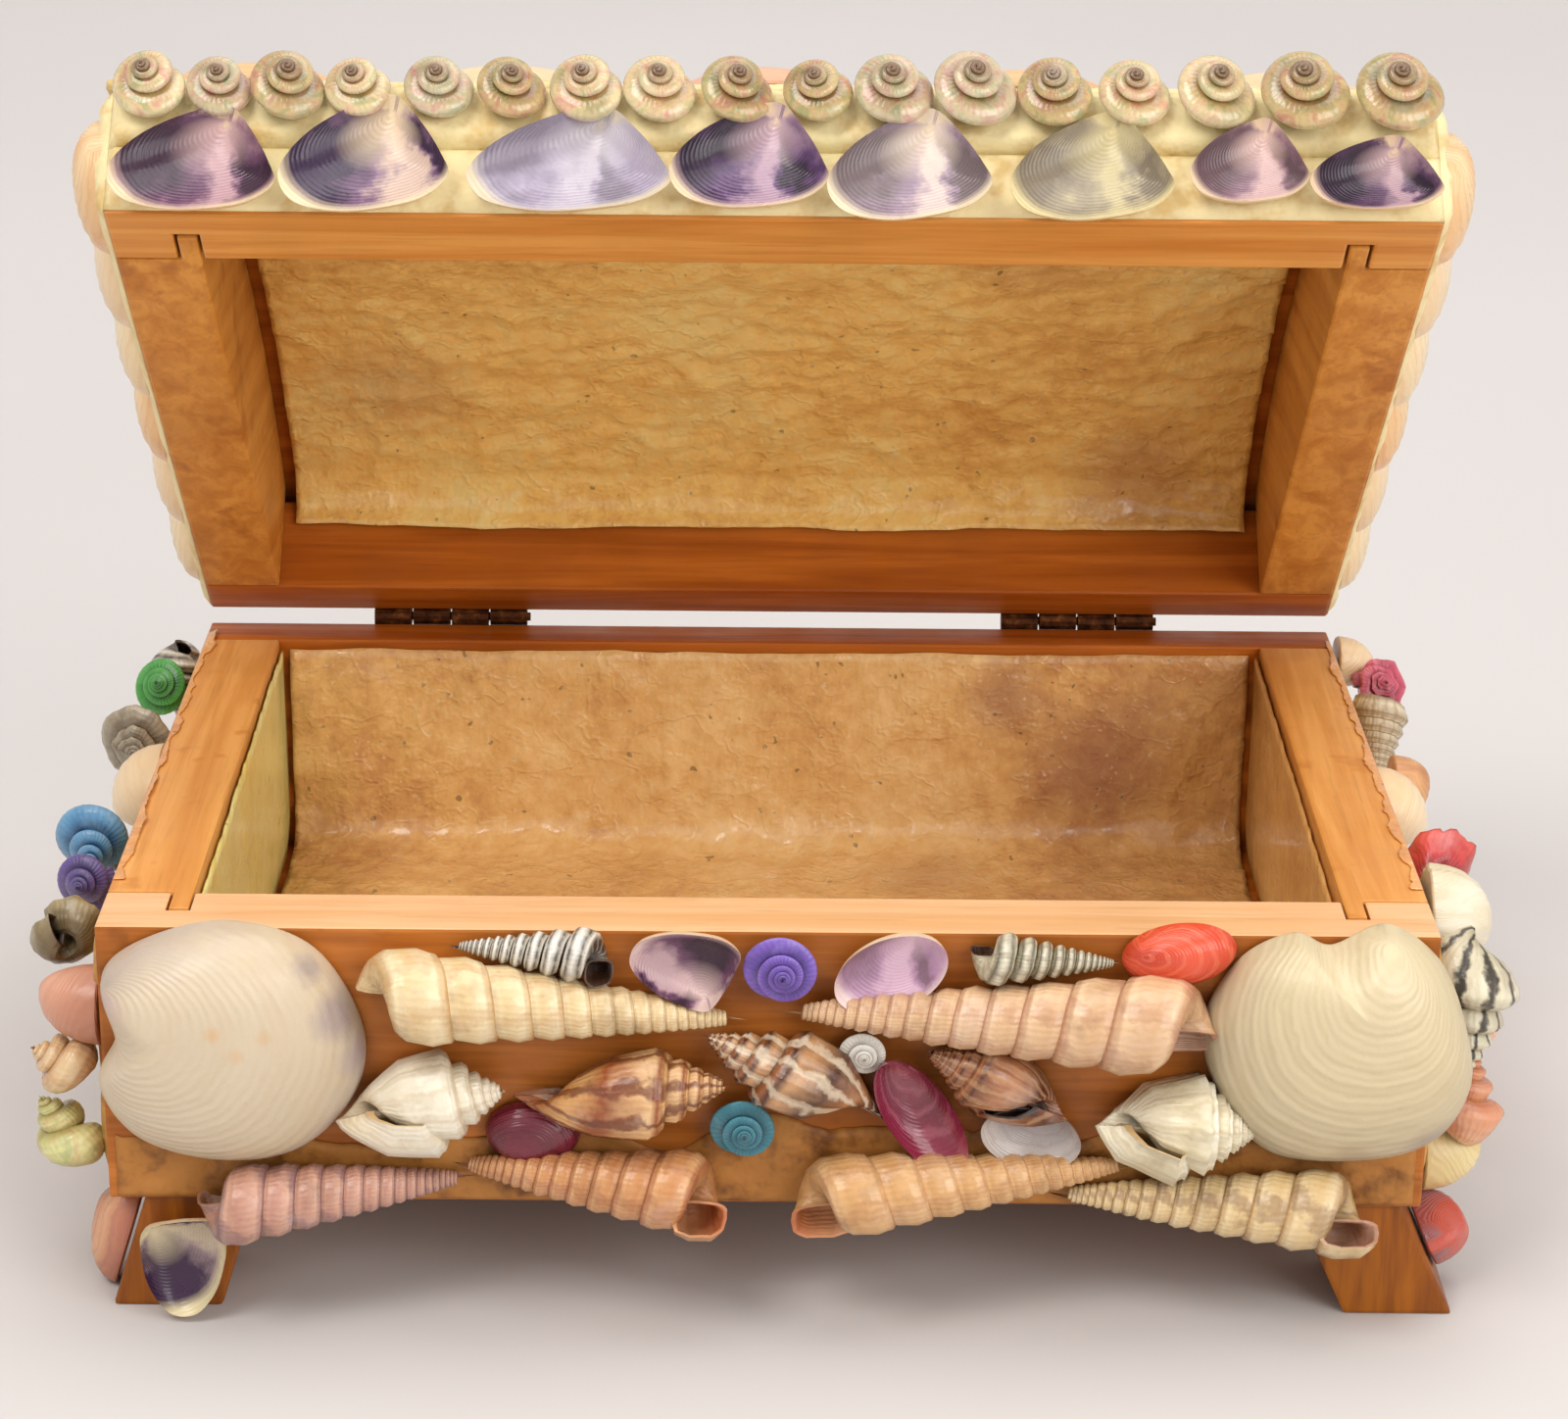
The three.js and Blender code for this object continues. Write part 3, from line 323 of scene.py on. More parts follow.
WEDGE = [(0.17, 0.5), (-0.05, 0.42), (-0.3, 0.22), (-0.46, -0.02), (-0.5, -0.22), (-0.4, -0.42),
    (-0.15, -0.5), (0.12, -0.47), (0.36, -0.38), (0.5, -0.2), (0.46, -0.02), (0.34, 0.25)]
WEDGE_BEAK = (0.15, 0.42)
CLAM_LEFT = [(-0.46, 0.28), (-0.28, 0.43), (0.02, 0.5), (0.32, 0.39), (0.49, 0.07), (0.46, -0.22),
    (0.25, -0.45), (-0.05, -0.5), (-0.35, -0.4), (-0.49, -0.17), (-0.42, 0.03)]
CLAM_RIGHT = [(0.16, 0.5), (0.36, 0.35), (0.47, 0.08), (0.5, -0.17), (0.38, -0.4), (0.13, -0.49),
    (-0.22, -0.46), (-0.42, -0.23), (-0.49, 0.08), (-0.37, 0.35), (-0.18, 0.46), (-0.04, 0.41)]
OVAL = [(0.41 * math.sin(2 * math.pi * k / 12) * -1.15,
    0.5 * math.cos(2 * math.pi * k / 12)) for k in range(12)]


def smooth_outline(points, n):
    """A closed Catmull-Rom curve through the points."""
    p = np.array(points, float)
    out = []
    k = len(p)
    for i in range(k):
        a, b, c, d = p[i - 1], p[i], p[(i + 1) % k], p[(i + 2) % k]
        for t in np.linspace(0, 1, n // k, endpoint=False):
            out.append(0.5 * (2 * b + (c - a) * t + (2 * a - 5 * b + 4 * c - d) * t**2
                              + (3 * b - a - 3 * c + d) * t**3))
    return np.array(out)


def valve(piece, P, place, size, deg, mats, outline=OVAL, beak=(0.0, 0.42), dished=False, deep=3.0,
        flip=False, ribs=(0, 0.0), growth=(0, 0.0), n=60, rings=22, tilt=(0.0, 0.0), thick=0.55, crown=0.55,
        seed=1, wav=0.0):
    """One valve of a clam. u runs round the beak, v grows from the beak to the edge."""
    o = smooth_outline(outline, n)
    b = np.array(beak, float)
    if flip:
        o[:, 0] *= -1
        b[0] *= -1
        o = o[::-1]
    o = o * np.array(size)
    b = b * np.array(size)
    o = o * (1 + wav * (fbm(np.c_[o * 0.6, np.zeros(len(o))], seed)[:, None] - 0.5))
    n = len(o)
    rho = np.linspace(0, 1, rings) ** 0.8
    centre = o.mean(0) * 0.6 + b * 0.4
    pts = centre + (o - centre)[None] * rho[:, None, None]
    d = pts - b
    away = math.atan2(*(centre - b)[::-1])
    ang = (np.arctan2(d[..., 1], d[..., 0]) - away + 3 * math.pi) % (2 * math.pi) - math.pi
    od = o - b
    oa = (np.arctan2(od[:, 1], od[:, 0]) - away + 3 * math.pi) % (2 * math.pi) - math.pi
    order = np.argsort(oa)
    reach = np.hypot(od[:, 0], od[:, 1])
    turn_ = np.linspace(-math.pi, math.pi, 145)
    wide = np.where(np.abs(turn_[:, None] - oa[None, :]) < 0.14, reach[None, :], 0).max(1)
    wide = np.maximum(wide, np.interp(turn_, oa[order], reach[order]))
    wide = np.convolve(np.pad(wide, 3, mode="wrap"), np.ones(7) / 7, mode="valid")
    far = np.interp(ang, turn_, wide)
    g = np.clip(np.hypot(d[..., 0], d[..., 1]) / np.maximum(far, 1e-6), 0, 1.2)
    behind = np.clip((np.abs(ang) - 1.9) / 0.7, 0, 1)
    g = np.clip(g, 0, 1) * (1 - behind) + 0.15 * behind
    U = ang / math.pi * 0.5 + 0.5
    prof = np.clip(1 - rho**2.3, 0, 1)[:, None] ** crown * np.ones_like(g)
    relief = np.zeros_like(g)
    if ribs[0]:
        relief = relief + ribs[1] * np.cos(2 * math.pi * ribs[0] * U) * np.clip(g, 0, 1)
    if growth[0]:
        wob = 0.6 * fbm(np.stack([pts[..., 0] * 0.25, pts[..., 1] * 0.25, 0 * g], -1), seed)
        relief = relief + growth[1] * np.sin(2 * math.pi * growth[0] * (g + 0.1 * wob)) * np.clip(g * 1.3, 0,
            1)
    if dished:
        top = deep - (deep - thick) * prof + relief * 0.3
        low = np.maximum(top - thick, 0.05)
        low[-1] = top[-1] - 0.18
    else:
        top = thick + (deep - thick) * prof + relief
        low = np.full_like(top, 0.05)
        low[-1] = thick * 0.5
    c, s = math.cos(math.radians(deg)), math.sin(math.radians(deg))

    def lay(z):
        x, y = pts[..., 0] * c - pts[..., 1] * s, pts[..., 0] * s + pts[..., 1] * c
        return np.stack([x + place[0], y + place[1], z + place[2] + x * tilt[0] + y * tilt[1]], -1)

    uvp = np.stack([U, g], -1)
    for z, mat, turn in ((top, mats[0], False), (low, mats[1], True)):
        verts = lay(z).reshape(-1, 3)
        faces, uvs = [], []
        flat = uvp.reshape(-1, 2)
        for i in range(rings - 1):
            for j in range(n):
                k = (j + 1) % n
                f = [i * n + j, (i + 1) * n + j, (i + 1) * n + k, i * n + k]
                f = f[::-1] if turn else f
                faces.append(f)
                uvs.extend(tuple(flat[q]) for q in f)
        piece.add(P(verts), faces, uvs, mat)
    rim_v = np.concatenate([lay(top)[-1], lay(low)[-1]])
    faces = [[j, (j + 1) % n, n + (j + 1) % n, n + j] for j in range(n)]
    uvs = [tuple(uvp[-1, q % n]) for f in faces for q in f]
    piece.add(P(rim_v), faces, uvs, mats[0])


# Materials
def lin(c, rich=1.06):
    """A colour as seen, a little richer because soft light pales it."""
    q = [((v / 255 + 0.055) / 1.055) ** 2.4 if v > 10.3 else v / 255 / 12.92 for v in c]
    grey = 0.3 * q[0] + 0.59 * q[1] + 0.11 * q[2]
    return tuple(min(0.95, max(0.003, grey + (v - grey) * rich)) for v in q) + (1.0,)


class Nodes:
    """Short-hand for building a material's nodes."""

    def __init__(self, name):
        self.mat = bpy.data.materials.new(name)
        self.mat.use_nodes = True
        self.t = self.mat.node_tree
        self.bsdf = self.t.nodes["Principled BSDF"]

    def new(self, kind, **inputs):
        n = self.t.nodes.new(kind)
        for k, v in inputs.items():
            self.put(n, k.replace("_", " "), v)
        return n

    def put(self, n, key, v):
        sock = n.inputs[key if key in n.inputs else int(key)] if not isinstance(key, int) else n.inputs[key]
        if isinstance(v, bpy.types.NodeSocket):
            self.t.links.new(v, sock)
        else:
            sock.default_value = v

    def math(self, op, a, b=None, clamp=False):
        n = self.t.nodes.new("ShaderNodeMath")
        n.operation = op
        n.use_clamp = clamp
        self.put(n, 0, a)
        if b is not None:
            self.put(n, 1, b)
        return n.outputs[0]

    def mul(self, a, b, clamp=False):
        return self.math("MULTIPLY", a, b, clamp)

    def add(self, a, b):
        return self.math("ADD", a, b)

    def sub(self, a, b):
        return self.math("SUBTRACT", a, b)

    def sine(self, a):
        return self.math("SINE", a)

    def coords(self, scale=(1, 1, 1), rotate=(0, 0, 0)):
        tc = self.t.nodes.new("ShaderNodeTexCoord")
        mp = self.t.nodes.new("ShaderNodeMapping")
        mp.inputs["Scale"].default_value = scale
        mp.inputs["Rotation"].default_value = rotate
        self.t.links.new(tc.outputs["Object"], mp.inputs["Vector"])
        return mp.outputs[0]

    def uv(self):
        n = self.t.nodes.new("ShaderNodeUVMap")
        n.uv_map = "grain"
        s = self.t.nodes.new("ShaderNodeSeparateXYZ")
        self.t.links.new(n.outputs[0], s.inputs[0])
        return s.outputs[0], s.outputs[1]

    def noise(self, vec, scale, detail=3.0, rough=0.55, distort=0.0):
        n = self.new("ShaderNodeTexNoise", Vector=vec, Scale=scale, Detail=detail, Roughness=rough,
            Distortion=distort)
        return n.outputs[0]

    def ramp(self, fac, stops):
        n = self.t.nodes.new("ShaderNodeValToRGB")
        e = n.color_ramp.elements
        while len(e) < len(stops):
            e.new(0.5)
        for q, (pos, col) in zip(e, sorted(stops)):
            q.position = pos
            q.color = lin(col) if len(col) == 3 else col
        self.t.links.new(fac, n.inputs[0])
        return n.outputs[0]

    def span(self, v, a, b, c=0.0, d=1.0):
        n = self.new("ShaderNodeMapRange", Value=v)
        n.inputs[1].default_value = a
        n.inputs[2].default_value = b
        n.inputs[3].default_value = c
        n.inputs[4].default_value = d
        return n.outputs[0]

    def mix(self, fac, a, b, mode="MIX"):
        n = self.t.nodes.new("ShaderNodeMix")
        n.data_type = "RGBA"
        n.blend_type = mode
        for k, v in ((0, fac), (6, a), (7, b)):
            if isinstance(v, bpy.types.NodeSocket):
                self.t.links.new(v, n.inputs[k])
            else:
                n.inputs[k].default_value = v
        return n.outputs[2]

    def spots(self, col, obj, marks):
        """Marks at set places: (place, size, amount, colour), with ragged edges."""
        for place, size, amount, tone in marks:
            n = self.t.nodes.new("ShaderNodeVectorMath")
            n.operation = "DISTANCE"
            self.t.links.new(obj, n.inputs[0])
            n.inputs[1].default_value = place
            ragged = self.mul(self.noise(obj, 0.9 / size, 4.0, 0.7), size * 0.9)
            d = self.add(n.outputs["Value"], ragged)
            f = self.mul(self.span(d, size * 1.45, size * 0.75), amount, clamp=True)
            col = self.mix(f, col, lin(tone))
        return col

    def finish(self, color, rough, height=None, strength=0.3, distance=0.0003, **extra):
        self.put(self.bsdf, "Base Color", color)
        self.put(self.bsdf, "Roughness", rough)
        for k, v in extra.items():
            self.put(self.bsdf, k.replace("_", " "), v)
        if height is not None:
            b = self.new("ShaderNodeBump", Strength=strength, Distance=distance, Height=height)
            self.put(self.bsdf, "Normal", b.outputs[0])
        return self.mat


def spiral_mat(name, across, streak=None, streaks=6.0, amount=0.4, slant=1.2, dirt_and_seam_shade=(120, 90, 60), seam_shade=0.25,
        rough=0.34, lines=14.0, coat=0.35, pearl=0.0, apex=None, apex_u=2.0):
    """A coiled shell: colours across the whorl, streaks along its growth, threads, painted shade in patches
    in the seams.
    """
    k = Nodes(name)
    u, v = k.uv()
    obj = k.coords()
    wob = k.noise(obj, 420.0, 3.0)
    vv = k.add(v, k.mul(k.sub(wob, 0.5), 0.08))
    col = k.ramp(vv, across)
    if streak:
        ph = k.add(k.mul(u, streaks), k.mul(v, slant))
        ph = k.add(ph, k.mul(wob, 1.1))
        wave = k.sine(k.mul(ph, 2 * math.pi))
        f = k.mul(k.span(wave, 0.1, 0.9), amount, clamp=True)
        col = k.mix(f, col, lin(streak))
    # Painted shade: the seams between whorls darken, in patches, towards a darker colour.
    seam = k.span(k.math("ABSOLUTE", k.sub(v, 0.25)), 0.13, 0.25)
    seam_shade_patches = k.mul(seam, k.span(k.noise(obj, 900.0, 2.0), 0.35, 0.75))
    col = k.mix(k.mul(seam_shade_patches, seam_shade, clamp=True), col, lin(dirt_and_seam_shade))
    if pearl:
        tint = k.ramp(k.noise(obj, 330.0, 2.0, 0.6, 1.5), [(0.3, (225, 170, 190)), (0.5, (240, 236, 220)),
            (0.7, (170, 205, 180))])
        col = k.mix(pearl, col, tint, "SOFT_LIGHT")
    if apex:
        col = k.mix(k.span(k.add(u, k.mul(wob, 0.8)), apex_u, apex_u * 0.5), col, lin(apex))
    worn = k.noise(k.coords((1, 1, 1), (0.3, 0.5, 0.1)), 190.0, 3.0, 0.65)
    col = k.mix(k.mul(k.span(worn, 0.52, 0.7), 0.34), col, lin(dirt_and_seam_shade))
    col = k.mix(k.mul(k.span(worn, 0.46, 0.3), 0.3), col, lin(tuple(0.5 * q + 122 for q in across[1][1])))
    thread = k.sine(k.mul(v, 2 * math.pi * lines))
    grow = k.sine(k.add(k.mul(u, 2 * math.pi * 34), k.mul(wob, 9.0)))
    h = k.add(k.mul(thread, 0.5), k.mul(grow, 0.3))
    h = k.add(h, k.mul(k.noise(obj, 2600.0, 1.0), 0.7))
    r = k.span(k.noise(obj, 700.0), 0.3, 0.7, rough - 0.08, rough + 0.14)
    return k.finish(col, r, h, 0.35, 0.00018, Coat_Weight=coat, Coat_Roughness=0.12)


def valve_mat(name, along, round_=None, round_amount=0.5, bands=9.0, band_col=None, band_amount=0.3, rays=0.0,
        speck=None, rough=0.38, coat=0.25, edge=None, warp=0.05, marks=(), near=0.2):
    """A clam valve: colours from the beak to the edge, others round the beak, growth bands and rays."""
    k = Nodes(name)
    u, v = k.uv()
    obj = k.coords()
    wob = k.noise(obj, 260.0, 4.0, 0.6)
    off = k.mul(k.sub(wob, 0.5), warp * 2)
    col = k.ramp(k.add(v, off), along)
    if round_:
        second = k.ramp(k.add(u, off), [(p, c) for p, c in round_])
        fade = k.mul(k.span(v, 0.97, 0.84), k.span(v, 0.02, near))
        fade = k.mul(fade, round_amount)
        col = k.mix(fade, col, second)
    if band_col:
        ph = k.add(k.mul(v, bands), k.mul(wob, 1.6))
        wave = k.span(k.sine(k.mul(ph, 2 * math.pi)), 0.2, 1.0)
        col = k.mix(k.mul(wave, band_amount, clamp=True), col, lin(band_col))
    if speck:
        sp = k.span(k.noise(obj, 700.0, 1.0), 0.62, 0.7)
        col = k.mix(k.mul(sp, 0.8), col, lin(speck))
    if edge:
        col = k.mix(k.span(v, 0.9, 0.97), col, lin(edge))
    col = k.spots(col, obj, marks)
    lines = k.sine(k.add(k.mul(v, 2 * math.pi * 26), k.mul(wob, 7.0)))
    h = k.mul(lines, 0.5)
    if rays:
        h = k.add(h, k.sine(k.mul(u, 2 * math.pi * rays)))
    h = k.add(h, k.mul(k.noise(obj, 2200.0, 1.0), 0.6))
    r = k.span(k.noise(obj, 500.0), 0.3, 0.7, rough - 0.08, rough + 0.12)
    return k.finish(col, r, h, 0.28, 0.00016, Coat_Weight=coat, Coat_Roughness=0.15)


def wood_mat(name, light, dark, axis="X", knots=0.3, rough=0.42, stain=None):
    """Varnished softwood with its grain along one axis, a few darker years, stains and tiny pores."""
    k = Nodes(name)
    s = {"X": (6, 120, 120), "Y": (120, 6, 120), "Z": (120, 120, 6)}[axis]
    long_ = k.coords(s)
    obj = k.coords()
    rings = k.noise(long_, 2.6, 3.0, 0.6, 0.6)
    fine = k.noise(k.coords(tuple(q * 5 for q in s)), 3.0, 2.0)
    col = k.ramp(rings, [(0.32, dark), (0.48, tuple((a + b) / 2 for a, b in zip(light, dark))),
        (0.62, light)])
    col = k.mix(k.mul(k.span(fine, 0.55, 0.75), 0.25), col, lin(tuple(c * 0.72 for c in dark)))
    blotch = k.span(k.noise(obj, 45.0, 3.0), 0.45, 0.7)
    col = k.mix(k.mul(blotch, knots), col, lin(tuple(c * 0.8 for c in dark)))
    if stain:
        st = k.span(k.noise(obj, 120.0, 3.0, 0.65), 0.58, 0.66)
        col = k.mix(k.mul(st, 0.55), col, lin(stain))
    h = k.add(k.mul(fine, 0.6), k.mul(rings, 0.5))
    h = k.add(h, k.mul(k.noise(obj, 1500.0, 1.0), 0.25))
    r = k.span(k.noise(obj, 160.0, 2.0), 0.3, 0.7, rough - 0.1, rough + 0.15)
    return k.finish(col, r, h, 0.22, 0.0002, Specular_IOR_Level=0.3, Coat_Weight=0.1, Coat_Roughness=0.3)


def paper_mat(name, light, mid, dark, stain=None, stain_at=None, gloss=0.3):
    """Thin varnished paper: fibres, a mottled tan, glossy crease ridges and dark specks."""
    k = Nodes(name)
    obj = k.coords()
    broad = k.noise(obj, 38.0, 3.0, 0.6)
    fine = k.noise(obj, 420.0, 3.0, 0.65)
    v = k.add(k.mul(broad, 0.6), k.mul(fine, 0.4))
    col = k.ramp(v, [(0.36, dark), (0.5, mid), (0.64, light)])
    if stain:
        col = k.spots(col, obj, [(q, size, amount, stain) for q, size, amount in stain_at])
    sp = k.span(k.noise(obj, 650.0, 1.0), 0.735, 0.775)
    col = k.mix(k.mul(sp, 0.6), col, lin((70, 55, 30)))
    fleck = k.span(k.noise(obj, 1300.0, 1.0), 0.66, 0.74)
    col = k.mix(k.mul(fleck, 0.35), col, lin((245, 225, 190)))
    h = k.add(k.mul(fine, 0.8), k.mul(k.noise(k.coords((1, 1, 0.3), (0.4, 0.2, 0.7)), 900.0, 1.0), 0.6))
    fold = k.noise(k.coords((1, 1.3, 1.3), (0.2, 0.1, 0.6)), 75.0, 4.0, 0.6)
    ridge = k.span(k.math("ABSOLUTE", k.sub(fold, 0.5)), 0.03, 0.0)
    h = k.add(h, k.mul(ridge, 0.35))
    h = k.add(h, k.mul(fold, 0.7))
    crinkle = k.noise(k.coords((1, 1.2, 1.2), (0.5, 0.3, 0.9)), 210.0, 2.0, 0.55)
    crest = k.span(k.math("ABSOLUTE", k.sub(crinkle, 0.5)), 0.05, 0.0)
    h = k.add(h, k.mul(crest, 0.22))
    r = k.span(k.noise(obj, 300.0, 1.0), 0.3, 0.7, gloss - 0.08, gloss + 0.2)
    return k.finish(col, r, h, 0.5, 0.00055, Coat_Weight=0.9, Coat_Roughness=0.14)


def plaster_mat(name, light, dark):
    k = Nodes(name)
    obj = k.coords()
    v = k.noise(obj, 220.0, 3.0, 0.6)
    col = k.ramp(v, [(0.34, dark), (0.5, light), (0.7, tuple(min(255, c + 10) for c in light))])
    h = k.add(k.mul(k.noise(obj, 700.0, 2.0, 0.6), 1.0), k.mul(v, 0.8))
    return k.finish(col, k.span(v, 0.3, 0.7, 0.5, 0.75), h, 0.5, 0.0004)


def metal_mat(name):
    k = Nodes(name)
    obj = k.coords()
    v = k.noise(obj, 500.0, 4.0, 0.7)
    col = k.ramp(v, [(0.35, (48, 26, 14)), (0.55, (92, 52, 28)), (0.72, (150, 98, 52))])
    h = k.noise(obj, 1800.0, 3.0)
    return k.finish(col, k.span(v, 0.3, 0.7, 0.38, 0.62), h, 0.3, 0.0001, Metallic=0.85)


# The front board's wood is its own colour darkened with painted shade of the gaps between shells; its top
# faces get a paler copy as painted light.
front_wood_and_shade = wood_mat("wood_front_and_painted_shade", (196, 120, 58), (150, 84, 34), "X", stain=(132, 74, 30))
front_top_painted_light = wood_mat("wood_front_top_painted_light", (238, 194, 150), (226, 174, 124), "X", knots=0.12)
wood_y = wood_mat("wood_rim_side", (236, 174, 104), (212, 142, 74), "Y", knots=0.2, stain=(196, 124, 60))
wood_dark = wood_mat("wood_back", (196, 112, 48), (158, 80, 28), "X", knots=0.3)
wood_lid = wood_mat("wood_lid_front", (230, 164, 92), (206, 132, 64), "X", knots=0.2)
wood_foot = wood_mat("wood_foot", (166, 96, 26), (122, 64, 10), "Z", knots=0.35)
lid_side = wood_mat("wood_lid_side", (224, 158, 82), (194, 124, 56), "Y", knots=0.3, stain=(160, 90, 36))
hinge_metal = metal_mat("dark_hinge_metal")
plaster = plaster_mat("cream_plaster", (244, 226, 176), (222, 192, 130))
glue = plaster_mat("amber_glue", (206, 160, 96), (160, 108, 56))


def placer(place):
    """Turns a point of the box, lid or panel into a plain tuple of metres."""
    return lambda *p: tuple(float(q) for q in place(np.array([p], float))[0])


at, front_at, right_at = placer(in_box), placer(FRONT), placer(RIGHT)
at_lid = placer(lambda p: in_lid(p + np.array([0, 0, LID_Z])))
tray_paper = paper_mat("tray_paper", (246, 206, 148), (232, 184, 122), (204, 150, 98), (150, 96, 84),
    [(at(42, 40, 29), 0.011, 0.6), (at(30, 40, 38), 0.007, 0.55), (at(48, 38, 37), 0.007, 0.35),
    (at(20, 30, 18), 0.009, 0.3)])
lid_paper = paper_mat("lid_paper", (255, 222, 150), (248, 204, 124), (222, 170, 98), (156, 98, 84),
    [(at_lid(46, 34, 14), 0.011, 0.4), (at_lid(-46, 20, 16), 0.012, 0.3), (at_lid(30, -10, 18), 0.01, 0.25)])
card_yellow = paper_mat("card_yellow", (255, 252, 186), (255, 246, 166), (252, 228, 136), gloss=0.45)
card_tan = paper_mat("card_tan", (244, 200, 136), (232, 180, 112), (208, 152, 88), gloss=0.4)
# Dark brown for the inside of some shell mouths: painted shade of the deep hollow, which the shallow mouth
# cup lacks.
mouth_painted_shade = spiral_mat("shell_inside_painted_shade", [(0.0, (90, 60, 40)), (0.5, (50, 30, 22)), (1.0, (90, 60, 40))],
    seam_shade=0.1)
pale_in = spiral_mat("shell_inside_pale", [(0.0, (225, 190, 165)), (0.5, (190, 140, 115)),
    (1.0, (225, 190, 165))], seam_shade=0.3)


# Boards: the CAD solids with softened edges
def refine(node, body, mat, bevel=0.35, top=None):
    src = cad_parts[node]
    me = src.data.copy()
    name = node + "_wood"
    ob = bpy.data.objects.new(name, me)
    ob.matrix_world = src.matrix_world
    bpy.context.scene.collection.objects.link(ob)
    bm = bmesh.new()
    bm.from_mesh(me)
    bmesh.ops.remove_doubles(bm, verts=bm.verts, dist=1e-6)
    bmesh.ops.dissolve_limit(bm, angle_limit=0.03, verts=bm.verts, edges=bm.edges)
    edges = [e for e in bm.edges if len(e.link_faces) == 2 and e.calc_face_angle(0) > 0.5]
    bmesh.ops.bevel(bm, geom=edges, offset=bevel / 1000, segments=2, profile=0.6, affect="EDGES",
        clamp_overlap=True)
    bm.to_mesh(me)
    bm.free()
    me.materials.clear()
    me.materials.append(mat)
    if top is not None:
        me.materials.append(top[0])
        for p in me.polygons:
            if p.normal.dot(Vector(top[1])) > 0.7:
                p.material_index = 1
    for p in me.polygons:
        p.use_smooth = False
    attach(ob, body)
    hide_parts(node)
    return ob


# Upward faces of the front board take the paler copy: painted light on the top.
refine("front_board", "box", front_wood_and_shade, top=(front_top_painted_light, (0, 0, 1)))
refine("back_board", "box", wood_dark)
refine("left_board", "box", wood_y)
refine("right_board", "box", wood_y)
refine("bottom_board", "box", wood_dark, 0.2)
for f in ("foot_front_left", "foot_front_right", "foot_back_left", "foot_back_right"):
    refine(f, "box", wood_foot, 0.5)
refine("lid_front_rail", "lid", wood_lid)
refine("lid_back_rail", "lid", wood_dark)
refine("lid_left_end", "lid", lid_side)
refine("lid_right_end", "lid", lid_side)
refine("lid_roof", "lid", wood_dark, 0.2)
for n_ in ("left_hinge_lower_leaf", "right_hinge_lower_leaf", "left_hinge_upper_leaf",
        "right_hinge_upper_leaf"):
    o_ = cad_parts[n_]
    o_.data.materials.clear()
    o_.data.materials.append(hinge_metal)


# Paper linings and cards
def along(path, n):
    p = np.array(path, float)
    seg = np.hypot(*np.diff(p, axis=0).T)
    s = np.concatenate([[0], np.cumsum(seg)])
    t = np.linspace(0, s[-1], n)
    return np.stack([np.interp(t, s, p[:, 0]), np.interp(t, s, p[:, 1])], -1), t


def lining(name, body, node, path, place, x0, x1, mat, amp, seed, ends=(0.4, 0.4), nx=160, ns=100):
    line, t = along(path, ns)
    tan = np.gradient(line, axis=0)
    tan /= np.linalg.norm(tan, axis=1)[:, None]
    nrm = np.stack([-tan[:, 1], tan[:, 0]], -1)
    X = np.linspace(x0, x1, nx)[:, None] * np.ones((1, ns))
    S = t[None, :] * np.ones((nx, 1))
    q = np.stack([X * 0.075 + S * 0.05, S * 0.13 - X * 0.03, 0 * S], -1)
    q = q + 0.6 * (fbm(q * 1.7 + 9.0, seed + 20)[..., None] - 0.5)
    fold = 0.5 * creases(q, seed) + 0.36 * creases(q * 2.2 + 4.0, seed + 5) + 0.22 * creases(q * 4.6,
        seed + 8)
    soft = flat_fbm(X * 0.03, S * 0.04, seed + 11)
    fade = np.clip(np.minimum(S, t[-1] - S) / 3.0, 0.25, 1)
    h = 0.12 + (amp * (fold - 0.35) + 0.9 * amp * soft) * fade
    h = np.clip(h, 0.05, 1.6)
    wave0 = ends[0] * (fbm(np.stack([X[:, 0] * 0.11, 0 * X[:, 0], 0 * X[:, 0]], -1), seed + 3) - 0.5) * 2
    wave1 = ends[1] * (fbm(np.stack([X[:, 0] * 0.1, 0 * X[:, 0] + 5, 0 * X[:, 0]], -1), seed + 4) - 0.5) * 2
    k0 = np.clip(1 - S / 6.0, 0, 1)
    k1 = np.clip(1 - (t[-1] - S) / 6.0, 0, 1)
    y = line[None, :, 0] + nrm[None, :, 0] * h + tan[None, :, 0] * (k0 * wave0[:, None] + k1 * wave1[:, None])
    z = line[None, :, 1] + nrm[None, :, 1] * h + tan[None, :, 1] * (k0 * wave0[:, None] + k1 * wave1[:, None])
    back = 0.16
    yb, zb = y - nrm[None, :, 0] * back, z - nrm[None, :, 1] * back
    pc = Piece(name, body, node, "paper")
    verts, faces, uvs = sheet(place(np.stack([X, y, z], -1)), place(np.stack([X, yb, zb], -1)),
        np.stack([X * GRAIN, S * GRAIN], -1))
    pc.add(verts, faces, uvs, mat)
    return pc.make()


def arc_points(cy, cz, r, a0, a1, n):
    return [(cy + r * math.cos(math.radians(a)), cz + r * math.sin(math.radians(a))) for a in np.linspace(a0,
        a1, n)]


y0, y1, z0 = Y_FRONT + 0.15, Y_BACK - 0.15, FLOOR_TOP + 0.15
tray_path = [(y0, H - 1.3), (y0, z0 + 1.6)] + arc_points(y0 + 1.6, z0 + 1.6, 1.6, 180, 270, 5)
tray_path += arc_points(y1 - 5.2, z0 + 5.2, 5.2, 270, 360, 12) + [(y1, H - 1.3)]
lining("tray_lining_paper", "box", "tray_lining", tray_path, in_box, -X_IN + 1.3, X_IN - 1.3, tray_paper, 1.0,
    3, (0.3, 0.35))


def under(y):
    return LID_Z + LID_WALL + RISE * (1 - (y / (D / 2)) ** 2)


